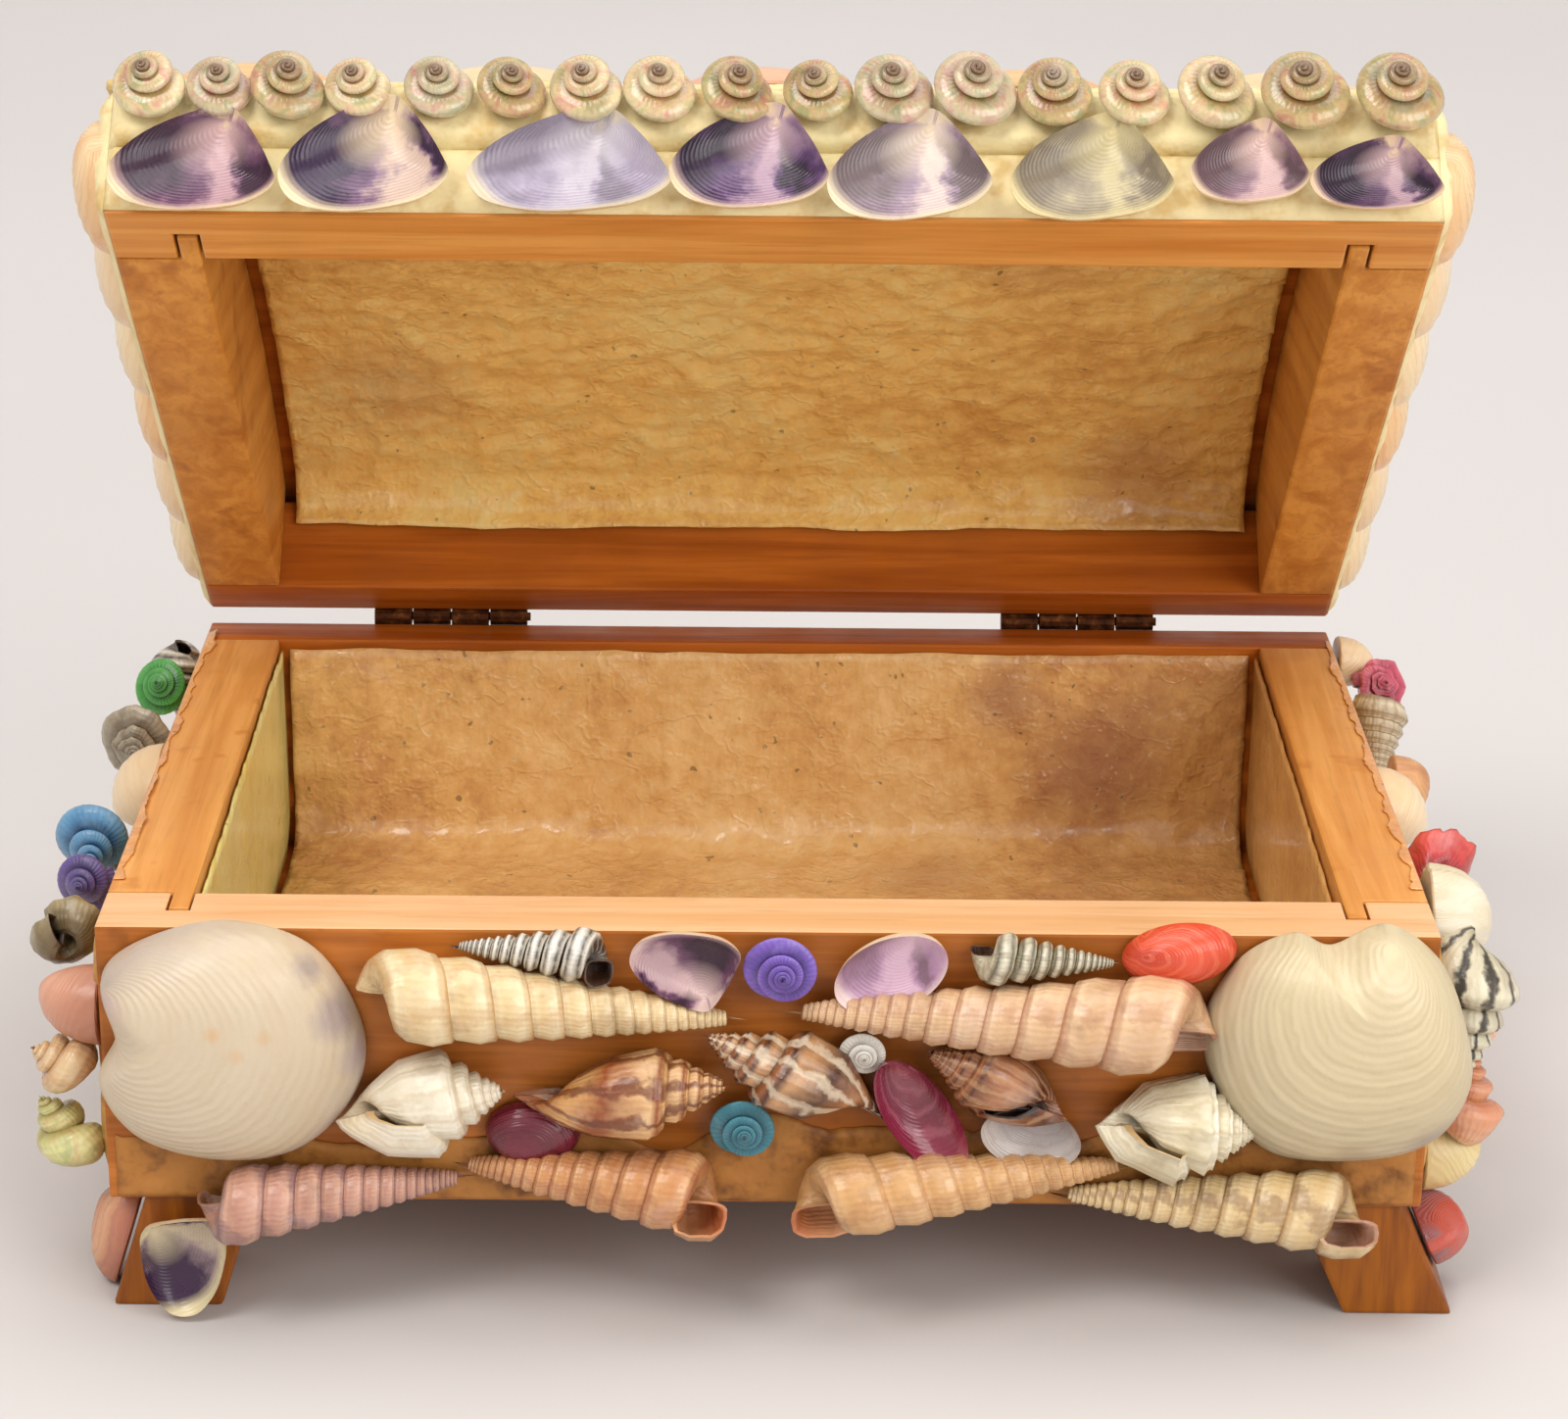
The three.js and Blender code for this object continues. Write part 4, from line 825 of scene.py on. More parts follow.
lid_path = [(y1 - 0.35, LID_Z + 8.6), (y1 - 0.4, LID_Z + 11.2), (y1 - 1.6, LID_Z + 12.8)]
lid_path += [(y, under(y) - 0.7) for y in np.linspace(36.6, -36.6, 40)]
lining("lid_lining_paper", "lid", "lid_lining", lid_path, in_lid, -X_IN + 1.6, X_IN - 1.6, lid_paper, 1.05, 7,
    (0.55, 0.3))


def card(name, node, side, top_back, top_front, mat, seed):
    """An end card with a ragged upper edge and a bent back corner."""
    Y, K = spread(Y_FRONT + 0.8, Y_BACK - 0.9, 70, 0, 1, 22)
    t = (Y - Y[0, 0]) / (Y[-1, 0] - Y[0, 0])
    rag = flat_fbm(Y * 0.5, 0 * Y + seed, seed, 4) - 0.5
    top = top_front + (top_back - top_front) * t + 0.7 * rag
    corner = np.clip((Y - (Y_BACK - 6)) / 6, 0, 1) ** 2 * 5.0
    base = FLOOR_TOP + 0.9 + corner
    Z = base + (top - base) * K
    warp = 0.25 * flat_fbm(Y * 0.06, Z * 0.08, seed + 2)
    X = side * (X_IN - 0.2 - warp)
    pc = Piece(name, "box", node, "card")
    f = np.stack([X - side * 0.3, Y, Z], -1)
    b = np.stack([X, Y, Z], -1)
    verts, faces, uvs = sheet(in_box(f), in_box(b), np.stack([Y * GRAIN, Z * GRAIN], -1))
    pc.add(verts, faces, uvs, mat)
    return pc.make()


card("left_card_paper", "left_end_card", -1, H - 1.2, H - 1.7, card_yellow, 4)
card("right_card_paper", "right_end_card", 1, H - 1.1, H - 2.3, card_tan, 9)


def rim_paper(name, side, seed):
    """A torn strip of paper along the outer edge of an end rim, lifting a little here and there."""
    Y, K = spread(Y_FRONT + 3, D / 2 - 4, 160, 0, 1, 7)
    rag = flat_fbm(Y * 0.35, 0 * Y, seed, 5)
    wide = 0.35 + 1.9 * np.clip(rag - 0.25, 0, 1)
    lift = np.clip(flat_fbm(Y * 0.12, 0 * Y + 3, seed + 1) - 0.5, 0, 1) * 1.3
    X = side * (W / 2 - 0.15 - wide * K)
    Z = H + 0.07 + lift * K**2 + 0.05 * rag
    f = np.stack([X, Y, Z + 0.08], -1)
    b = np.stack([X, Y, Z], -1)
    pc = Piece(name, "box", None, "paper")
    verts, faces, uvs = sheet(in_box(f), in_box(b), np.stack([Y * GRAIN, K * GRAIN], -1))
    pc.add(verts, faces, uvs, rim_strip)
    return pc.make()


rim_strip = paper_mat("rim_strip", (244, 184, 114), (232, 164, 94), (206, 134, 70), gloss=0.4)
rim_paper("rim_paper_left", -1, 31)
rim_paper("rim_paper_right", 1, 47)


# Beds of plaster and glue
def slab(pc, P, u0, u1, v0, vtop, back, wfun, mat, nu=120, nv=20):
    U, K = spread(u0, u1, nu, 0, 1, nv)
    top = vtop(U) if callable(vtop) else vtop
    V = v0 + (top - v0) * K
    edge = np.minimum(np.minimum(K, 1 - K) * nv / 2.5, np.minimum(U - u0, u1 - U) / 0.6).clip(0, 1)
    Wf = back + 0.12 + (wfun(U, V) - back - 0.12) * edge**0.5
    f = np.stack([U, V, Wf], -1)
    b = np.stack([U, V, np.full_like(U, back)], -1)
    verts, faces, uvs = sheet(P(f), P(b), np.stack([U * GRAIN, V * GRAIN], -1))
    pc.add(verts, faces, uvs, mat)


def lumps(base, amp, scale, seed):
    """The uneven surface of a bed, for slab."""
    return lambda U, V: base + amp * flat_fbm(U * scale, V * scale, seed, 4)


# Shells on the front of the box
def tower_mat(name, a, b, c, streak, amount=0.35, streaks=5.0, seam_shade=0.35):
    return spiral_mat(name, [(0.0, b), (0.08, c), (0.17, a), (0.27, b), (0.36, a), (0.44, c), (0.5, b)],
        streak, streaks, amount, 1.4, seam_shade=seam_shade)


rust_in = spiral_mat("shell_inside_rust", [(0.0, (232, 180, 134)), (0.5, (196, 112, 70)),
    (1.0, (232, 180, 134))], seam_shade=0.3)
hands = {"front_turritella_upper_left": -1, "front_turritella_upper_right": 1, "front_turritella_lower_1": 1,
         "front_turritella_lower_2": 1, "front_turritella_lower_3": -1, "front_turritella_lower_4": 1}
towers = {
    "front_turritella_upper_left": ((-39.4, 39.8, 5.2), (-1.9, 35.6, 1.5), 5.3, 1.17, 17, -100,
        tower_mat("tower_cream", (236, 216, 176), (224, 196, 148), (206, 170, 120), (186, 138, 92), 0.3)),
    "front_turritella_upper_right": ((43.2, 37, 5.5), (0.9, 36.8, 1.5), 5.7, 1.17, 17, -40,
        tower_mat("tower_beige", (228, 192, 154), (212, 172, 132), (190, 140, 108), (170, 116, 92), 0.35)),
    "front_turritella_lower_1": ((-58.2, 14.6, 4.6), (-31.1, 16.8, 1.3), 4.6, 1.17, 16, -90,
        tower_mat("tower_pink", (210, 164, 142), (188, 138, 120), (150, 112, 112), (126, 92, 98), 0.5, 2.0)),
    "front_turritella_lower_2": ((-6.6, 16.4, 4.8), (-33.7, 18.4, 1.3), 4.9, 1.18, 16, 60,
        tower_mat("tower_rust", (216, 164, 116), (200, 140, 92), (176, 108, 74), (150, 86, 58), 0.35)),
    "front_turritella_lower_3": ((6, 16, 4.7), (40.1, 18.9, 1.3), 4.9, 1.18, 16, 190,
        tower_mat("tower_tan", (222, 178, 128), (206, 158, 106), (214, 170, 126), (174, 118, 80), 0.35)),
    "front_turritella_lower_4": ((62.4, 14.7, 4.8), (30.2, 15.3, 1.3), 4.9, 1.17, 16, 75,
        tower_mat("tower_banded", (232, 208, 164), (216, 186, 136), (196, 158, 110), (134, 98, 72),
            0.55, 3.0)),
}
for name, (big, tip, R, step, turns, mouth, mat) in towers.items():
    pc = Piece(name + "_shell", "box", name, "shell")
    coil(pc, FRONT, big, tip, R, (mat, rust_in if name[-1] in "23" else pale_in), step=step, turns=turns,
        mouth=mouth, cords=(9, 0.018), wobble=0.05, cr=0.56, seed=len(name), lip=0.06, flat=0.52, fat=0.72,
        taper=0.12, post=1.34, hand=hands[name])
    pc.make()

bw = spiral_mat("turret_black_white", [(0.0, (60, 52, 44)), (0.1, (240, 234, 220)), (0.16, (70, 60, 52)),
    (0.24, (244, 238, 226)), (0.31, (58, 50, 44)), (0.38, (236, 228, 212)), (0.46, (64, 54, 46))],
    (226, 216, 198), 9.0, 0.25)
bw2 = spiral_mat("turret_grey_green", [(0.0, (84, 78, 60)), (0.1, (214, 206, 178)), (0.18, (96, 88, 70)),
    (0.26, (222, 214, 190)), (0.34, (90, 82, 64)), (0.42, (204, 194, 166))], (120, 108, 84), 8.0, 0.35)
pc = Piece("turret_left_shell", "box", "front_turret_left", "shell")
coil(pc, FRONT, (-17.6, 43.6, 3.1), (-33.6, 44.0, 1.4), 3.1, (bw, mouth_painted_shade), step=1.22, turns=13, mouth=30,
    cords=(5, 0.03), ribs=(13, 0.06), knobs=0.03, flat=0.6, fat=0.8, taper=0.2, post=1.05, cr=0.55)
pc.make()
pc = Piece("turret_right_shell", "box", "front_turret_right", "shell")
coil(pc, FRONT, (22.8, 43.8, 2.9), (37.4, 42.4, 1.3), 3.0, (bw2, mouth_painted_shade), step=1.22, turns=13, mouth=-90,
    cords=(5, 0.03), ribs=(14, 0.06), knobs=0.04, flat=0.6, fat=0.8, taper=0.2, post=1.05, cr=0.55)
pc.make()


def clam_mat(name, along_, **kw):
    return valve_mat(name, along_, rough=0.42, coat=0.15, **kw)


clam_l = clam_mat("clam_cream_left", [(0.0, (196, 172, 168)), (0.14, (204, 188, 164)), (0.6, (210, 194, 170)),
    (0.88, (200, 182, 154)), (1.0, (196, 180, 166))], round_=[(0.0, (216, 200, 174)), (0.3, (214, 196, 168)),
    (0.62, (216, 198, 170)), (0.72, (140, 120, 140)), (0.8, (170, 150, 158)), (1.0, (210, 192, 168))],
    round_amount=0.3, bands=5, band_col=(204, 180, 146), band_amount=0.16,
    marks=[(front_at(-66.2, 38.0, 2.6), 0.0024, 0.6, (150, 112, 140)),
    (front_at(-64.0, 34.5, 5), 0.0022, 0.35, (150, 120, 130)), (front_at(-45.6, 37.0, 4.5), 0.0036, 0.5,
    (140, 122, 140)), (front_at(-44.2, 32.0, 3), 0.003, 0.45, (150, 130, 144)),
    (front_at(-48, 42.5, 4), 0.0024, 0.5, (130, 116, 128)), (front_at(-57.8, 37, 9), 0.0012, 0.5,
    (212, 166, 112)), (front_at(-55.4, 34.6, 9), 0.0011, 0.4, (214, 172, 120)),
    (front_at(-52.4, 36.4, 8.4), 0.0011, 0.4, (206, 164, 116)),
    (front_at(-53.0, 30.8, 9.0), 0.00045, 1.0, (20, 16, 12)), (front_at(-66, 26, 4), 0.0016, 0.4,
    (196, 170, 130))])
clam_r = clam_mat("clam_cream_right", [(0.0, (222, 204, 168)), (0.1, (218, 202, 168)),
    (0.55, (214, 198, 162)), (0.85, (202, 186, 154)), (1.0, (182, 172, 152))], bands=8,
    band_col=(196, 178, 140), band_amount=0.22, marks=[(front_at(70.5, 24, 4), 0.004, 0.6, (150, 134, 120)),
    (front_at(62, 22.5, 4), 0.0034, 0.4, (170, 150, 126)), (front_at(67, 33, 7), 0.0007, 0.8, (110, 90, 66))])
pc = Piece("clam_left_shell", "box", "front_clam_left", "shell")
valve(pc, FRONT, (-57, 32.7, 0.3), (28.6, 27.4), 0, (clam_l, clam_l), CLAM_LEFT, (-0.455, 0.25), deep=9.2,
    growth=(15, 0.03), n=132, rings=46, thick=0.9, crown=0.5, seed=3)
pc.make()
pc = Piece("clam_right_shell", "box", "front_clam_right", "shell")
valve(pc, FRONT, (60.4, 33.3, 0.3), (29, 27.4), 0, (clam_r, clam_r), CLAM_RIGHT, (0.17, 0.48), deep=9.2,
    growth=(11, 0.07), n=132, rings=46, thick=0.9, crown=0.5, seed=5)
pc.make()


def wedge_in(name, purple=(64, 28, 74), pale=(236, 220, 214), mid=(178, 150, 176), rim=(240, 220, 178),
        shift=0.0, amount=1.0):
    s = shift
    purple = tuple(q * 0.75 for q in purple)
    mid = tuple(q * 0.86 for q in mid)
    ray = tuple(0.72 * a + 0.28 * b for a, b in zip(pale, mid))
    stops = [(0.26, rim), (0.31, mid), (0.36, purple), (0.44 + s, purple), (0.5 + s, mid), (0.545 + s, ray),
        (0.585 + s, ray), (0.605 + s, mid), (0.62 + s, purple), (0.65 + s, purple), (0.685 + s, mid),
        (0.75, ray), (0.82, rim)]
    return valve_mat(name, [(0.0, rim), (0.1, pale), (0.5, pale), (0.86, pale), (0.96, rim)], round_=stops,
        round_amount=amount, rough=0.3, coat=0.25, warp=0.1, edge=rim, near=0.5)


cream_out = valve_mat("valve_cream_out", [(0.0, (240, 214, 176)), (0.4, (246, 230, 200)),
    (1.0, (240, 214, 172))], bands=8, band_col=(228, 186, 138), band_amount=0.35)
w_front_l = wedge_in("wedge_front_left", (70, 32, 60), (226, 196, 192), (130, 86, 116), (226, 200, 190), 0.02)
w_front_r = wedge_in("wedge_front_right", (120, 60, 96), (238, 206, 222), (190, 140, 184), (238, 216, 210),
    -0.03, 0.8)
pc = Piece("wedge_left_shell", "box", "front_wedge_left", "shell")
valve(pc, FRONT, (-8.6, 41.9, 0.4), (11.6, 9.1), 184, (w_front_l, cream_out), WEDGE, WEDGE_BEAK, True, 3.0,
    flip=True)
pc.make()
pc = Piece("wedge_right_shell", "box", "front_wedge_right", "shell")
valve(pc, FRONT, (12.9, 41.8, 0.4), (13.4, 8.1), 26, (w_front_r, cream_out), OVAL, (0.3, 0.3), True, 3.0)
pc.make()

coral = valve_mat("coral_valve", [(0.0, (180, 60, 40)), (0.5, (226, 92, 66)), (1.0, (206, 76, 52))], bands=6,
    band_col=(244, 140, 110), band_amount=0.3, rough=0.3)
magenta = valve_mat("magenta_valve", [(0.0, (120, 30, 50)), (0.6, (96, 16, 36)), (1.0, (140, 50, 70))],
    bands=7, band_col=(96, 18, 40), band_amount=0.4, rough=0.25, coat=0.6)
rose = valve_mat("rose_valve", [(0.0, (170, 90, 104)), (0.5, (112, 26, 50)), (0.88, (140, 46, 70)),
    (1.0, (206, 140, 150))], bands=5, band_col=(196, 120, 134), band_amount=0.3, rough=0.25, coat=0.6)
grey_in = valve_mat("grey_valve", [(0.0, (160, 148, 146)), (0.6, (172, 162, 160)), (1.0, (204, 194, 186))],
    bands=5, band_col=(146, 134, 138), band_amount=0.3, rough=0.25, coat=0.5)
for name, node, place, size, deg, mat, dish, deep, beak in (
        ("coral_shell", "front_coral_valve", (43.3, 43.4, 0.35), (12.9, 6.9),
            8, coral, False, 3.8, (-0.3, 0.2)),
        ("magenta_shell", "front_magenta_valve", (-25.1, 21.8, 0.3), (10.8, 7.2),
            176, magenta, False, 2.9, (0.2, 0.4)),
        ("rose_shell", "front_rose_valve", (16.4, 25.2, 0.4), (16, 7), -56, rose, True, 3.4, (-0.36, 0.14)),
        ("grey_shell", "front_grey_valve", (28.2, 22.5, 0.3), (11.6, 7),
            -14, grey_in, True, 2.8, (0.1, 0.4))):
    pc = Piece(name, "box", node, "dyed_shell" if mat is not grey_in else "shell")
    valve(pc, FRONT, place, size, deg, (mat, mat), OVAL, beak, dish, deep, growth=(9, 0.05))
    pc.make()


def dyed(name, c, d, e):
    return spiral_mat(name, [(0.0, d), (0.12, c), (0.25, e), (0.4, c), (0.5, d)], d, 3.0, 0.25,
        dirt_and_seam_shade=tuple(q * 0.4 for q in d), seam_shade=0.7, rough=0.36, lines=5)


purple = dyed("purple_button", (112, 82, 172), (70, 46, 124), (138, 110, 192))
teal = dyed("teal_button", (58, 124, 140), (28, 80, 96), (88, 152, 166))
white_b = dyed("white_button", (222, 218, 208), (170, 162, 150), (238, 234, 226))
for name, node, u_, v_, R_, mat in (("purple_shell", "front_button_purple", 1.6, 41.8, 4.4, purple),
                                   ("teal_shell", "front_button_teal", -2.3, 23, 3.9, teal),
                                   ("white_button_shell", "front_button_white", 10.3, 31.8, 2.8, white_b)):
    pc = Piece(name, "box", node, "dyed_shell" if mat is not white_b else "shell")
    button(pc, FRONT, u_, v_, 0.4, R_, (mat, pale_in))
    pc.make()


def snail(node, canal, tip, R, mat, inner, body=0.5, step=1.5, turns=6.5, mouth=80, cords=(9, 0.02),
        ribs=(0, 0.0), knobs=0.0, lip=0.0, taper=0.72, hand=1, wobble=0.06, tall=0.85, close=0.0):
    a = np.array([*canal, R * tall * 0.8])
    b = np.array([*tip, R * 0.55])
    L, x, _, _ = axes_to(a, b)
    pc = Piece(node + "_shell", "box", node, "shell")
    coil(pc, FRONT, a + x * L * body, b, R * 1.08, (mat, inner), La=L * body * 0.98, step=step, turns=turns,
        seg=38, cross=24, cr=0.62, mouth=mouth, cords=cords, ribs=ribs, knobs=knobs, lip=lip, taper=taper,
        hand=hand, wobble=wobble, post=1.25, seed=len(node), bulge=2.4, fat=0.9, close=close)
    return pc.make()


spotted = spiral_mat("whelk_spotted", [(0.0, (150, 84, 44)), (0.1, (222, 176, 122)), (0.17, (150, 78, 40)),
    (0.25, (232, 190, 140)), (0.33, (146, 74, 38)), (0.4, (216, 166, 110)), (0.5, (160, 92, 50))],
    (112, 52, 26), 7.0, 0.85, 0.3, lines=16)
triton = spiral_mat("triton_brown", [(0.0, (60, 30, 16)), (0.1, (150, 92, 56)), (0.18, (72, 36, 20)),
    (0.26, (196, 150, 108)), (0.33, (70, 34, 18)), (0.42, (170, 118, 80)), (0.5, (80, 44, 26))],
    (228, 210, 184), 8.0, 0.75, 0.6, lines=12)
brown = spiral_mat("whelk_brown_bands", [(0.0, (90, 44, 26)), (0.1, (170, 112, 76)), (0.2, (84, 40, 24)),
    (0.32, (180, 124, 88)), (0.42, (80, 38, 22)), (0.5, (120, 66, 42))], (206, 160, 120), 13.0, 0.5, 0.0,
    lines=14)
white = spiral_mat("whelk_white", [(0.0, (226, 208, 176)), (0.2, (244, 236, 216)), (0.4, (240, 228, 204)),
    (0.5, (222, 204, 172))], (206, 182, 146), 9.0, 0.3, 0.4, lines=12)
frilled = spiral_mat("whelk_frilled", [(0.0, (222, 206, 168)), (0.15, (246, 240, 220)),
    (0.3, (226, 212, 178)), (0.42, (244, 234, 208))], (200, 184, 146), 11.0, 0.4, 0.4, lines=10)
lip_cream = spiral_mat("lip_cream", [(0.0, (240, 222, 178)), (0.5, (214, 176, 124)), (1.0, (240, 222, 178))],
    seam_shade=0.2)
snail("front_whelk_spotted", (-27.4, 27.2), (-3.9, 28.6), 5.3, spotted, pale_in, cords=(12, 0.02),
    ribs=(12, 0.05), mouth=-100, body=0.56)
snail("front_triton", (12.8, 24.6), (-6.9, 34.4), 4.8, triton, pale_in, cords=(9, 0.04), ribs=(8, 0.1),
    knobs=0.08, mouth=-80, body=0.46, taper=0.85)
snail("front_whelk_brown", (33.4, 25), (16.9, 32.6), 4.7, brown, mouth_painted_shade, cords=(8, 0.03), ribs=(13, 0.06),
    mouth=30, lip=0.1, body=0.54, close=0.14)
snail("front_whelk_white", (-47.8, 25.4), (-27.7, 27.8), 6.0, white, lip_cream, cords=(9, 0.03),
    ribs=(13, 0.06), mouth=98, lip=0.08, body=0.56, hand=-1, close=0.22)
snail("front_whelk_frilled", (33.2, 26), (52.4, 23.6), 6.1, frilled, lip_cream, cords=(8, 0.05),
    ribs=(10, 0.08), knobs=0.06, mouth=104, lip=0.12, body=0.54, hand=-1, close=0.22)

# Old glue left on the lower part of the front board, darker than the other glue as painted shade between the
# shells
glue_and_painted_shade = plaster_mat("amber_glue_and_painted_shade", (176, 118, 58), (120, 72, 30))
pc = Piece("front_glue_and_shade_bed", "box", None, "plaster")
slab(pc, FRONT, -W / 2 + 1, W / 2 - 1, FLOOR + 0.3, lambda U: 21.5 + 7 * (flat_fbm(U * 0.09, 0 * U, 21,
    4) - 0.5), 0.04, lumps(0.2, 0.7, 0.35, 23), glue_and_painted_shade, 180, 26)
pc.make()

# Shells on the feet
w_foot = wedge_in("wedge_foot", (70, 34, 76), (232, 216, 180), (170, 146, 150), (230, 216, 176), 0.04)
FOOT_FRONT = panel([0, -D / 2 - 1.2, 0], [1, 0, 0], [0, 0, 1], in_box)
pc = Piece("foot_front_shell", "box", "foot_shell_front_left", "shell")
valve(pc, FOOT_FRONT, (-63.2, 7.4, 0.1), (12.2, 9.8), 66, (w_foot, cream_out), WEDGE, WEDGE_BEAK, True, 3.0)
pc.make()


def foot_side(side):
    """The outer face of a front foot, which leans outwards as it goes down."""
    left = side < 0
    top = -W / 2 + 3.8 if left else W / 2 - 1.8
    out = 4.0 if left else 6.0
    a = -math.atan2(out, FLOOR)
    v = np.array([side * math.sin(a), 0, math.cos(a)])
    return panel([top + side * out / 2, 0, FLOOR / 2], [0, side, 0], v, in_box)


orange_out = valve_mat("valve_orange_out", [(0.0, (170, 80, 60)), (0.4, (214, 140, 100)),
    (0.8, (222, 170, 130)), (1.0, (180, 110, 90))], bands=7, band_col=(130, 70, 90), band_amount=0.22)
red_out = valve_mat("valve_red_out", [(0.0, (200, 100, 90)), (0.5, (206, 84, 60)), (0.8, (170, 110, 110)),
    (1.0, (150, 60, 60))], bands=7, band_col=(150, 110, 112), band_amount=0.2)
pc = Piece("foot_left_shell", "box", "foot_shell_side_left", "shell")
valve(pc, foot_side(-1), (D / 2 - 6.4, -0.7, 0.3), (12, 9.4), 78, (orange_out, orange_out), WEDGE, WEDGE_BEAK,
    deep=4.6, growth=(8, 0.05))
pc.make()
pc = Piece("foot_right_shell", "box", "foot_shell_side_right", "dyed_shell")
valve(pc, foot_side(1), (-D / 2 + 6.4, -0.5, 0.3), (10.2, 9), 102, (red_out, red_out), WEDGE, WEDGE_BEAK,
    deep=5.0, growth=(8, 0.05))
pc.make()

# Ends and back of the box
cream_v = valve_mat("valve_cream", [(0.0, (240, 210, 170)), (0.4, (246, 226, 196)), (1.0, (236, 206, 164))],
    bands=9, band_col=(222, 176, 130), band_amount=0.14)
peach_v = valve_mat("valve_peach", [(0.0, (220, 160, 130)), (0.5, (240, 200, 170)), (1.0, (226, 176, 144))],
    bands=7, band_col=(206, 140, 110), band_amount=0.18)
yellow_v = valve_mat("valve_yellow", [(0.0, (214, 180, 110)), (0.5, (240, 222, 170)), (1.0, (222, 196, 140))],
    bands=9, band_col=(190, 160, 100), band_amount=0.2)
tan_v = valve_mat("valve_tan", [(0.0, (190, 130, 90)), (0.5, (222, 170, 120)), (1.0, (200, 144, 100))],
    bands=8, band_col=(160, 104, 70), band_amount=0.2)
pink_v = valve_mat("pink_round", [(0.0, (196, 136, 112)), (0.5, (222, 168, 142)), (1.0, (190, 130, 104))],
    bands=4, band_col=(200, 140, 116), band_amount=0.3)
green = dyed("green_button", (70, 150, 66), (36, 100, 40), (100, 176, 84))
blue = dyed("blue_turban", (84, 138, 178), (44, 90, 132), (120, 166, 200))
violet = dyed("violet_turban", (92, 74, 132), (56, 42, 90), (110, 90, 150))
pink_d = dyed("pink_knobbed", (200, 84, 104), (150, 44, 66), (222, 120, 134))
coral_d = dyed("coral_turban", (196, 66, 66), (150, 36, 40), (214, 96, 86))
grey_w = spiral_mat("whelk_grey", [(0.0, (110, 96, 78)), (0.2, (176, 164, 142)), (0.35, (130, 114, 94)),
    (0.5, (100, 86, 70))], (90, 78, 62), 6.0, 0.4)
olive_w = spiral_mat("whelk_olive", [(0.0, (120, 104, 74)), (0.2, (170, 152, 112)), (0.35, (130, 112, 80)),
    (0.5, (96, 82, 56))], (92, 78, 52), 5.0, 0.4)
orange_c = spiral_mat("snail_orange_cream", [(0.0, (206, 160, 110)), (0.25, (238, 208, 164)),
    (0.5, (204, 150, 104))], (196, 140, 92), 6.0, 0.3)
pearl_y = spiral_mat("turret_pearly", [(0.0, (170, 164, 104)), (0.2, (216, 210, 150)), (0.5, (160, 150, 96))],
    (150, 140, 90), 5.0, 0.3, pearl=0.6)
lattice_w = spiral_mat("turret_lattice", [(0.0, (180, 156, 120)), (0.12, (226, 212, 182)),
    (0.2, (160, 136, 102)), (0.3, (228, 214, 186)), (0.4, (160, 134, 98))], (150, 126, 92), 14.0, 0.45)
peach_c = spiral_mat("snail_peach", [(0.0, (206, 130, 96)), (0.25, (226, 156, 116)), (0.5, (236, 190, 150))],
    (190, 110, 84), 4.0, 0.35)
# The two near-black marks are the holes through this valve, painted as the shade seen through them.
holed = valve_mat("valve_holed", [(0.0, (226, 214, 186)), (0.5, (236, 228, 208)), (1.0, (214, 198, 164))],
    bands=3, band_col=(212, 194, 154), band_amount=0.2, marks=[(right_at(-27.6, 40.6, 7.4), 0.0009, 0.95,
    (50, 32, 18)), (right_at(-30.8, 40.0, 7.0), 0.0007, 0.9, (50, 32, 18))])
striped = spiral_mat("whelk_striped", [(0.0, (190, 180, 150)), (0.25, (226, 218, 192)),
    (0.5, (180, 170, 140))], (40, 34, 26), 9.0, 0.95, 0.0)


def small(pc, P, dir_, y, z, w, y1, z1, w1, R, mat, inner=mouth_painted_shade, **kw):
    opts = dict(step=1.5, turns=6.0, seg=28, cross=18, cr=0.5, mouth=90, cords=(5, 0.03))
    opts.update(kw)
    coil(pc, P, (dir_ * y, z, w), (dir_ * y1, z1, w1), R, (mat, inner), **opts)


def fill_end(pc, P, dir_, mats):
    """The two hidden rows of shells low on an end."""
    for row, z in ((0, 29.5), (1, 19.5)):
        for i in range(4):
            deg = dir_ * ((i * 37 + row * 60) % 50)
            y = -21 + i * 17.5 + row * 4
            if (i + 2 * row) % 4 == 1:
                small(pc, P, dir_, y - 6, z - 2, 4.4, y + 8, z + 3, 2.0, 4.4, mats[3], inner=pale_in, La=4.4,
                    step=1.4, turns=7, ribs=(11, 0.05), mouth=-90, taper=0.4, seg=24, cross=16)
                continue
            wide = 1 + 0.16 * ((i * 5 + row * 3) % 4 - 1.5)
            valve(pc, P, (dir_ * y, z, 0.4), (13.6 * wide, 11.8 * wide), 90 + deg, (mats[(i + row) % 3],) * 2,
                deep=4.4, growth=(8, 0.08), n=40, rings=14, seed=i + row)


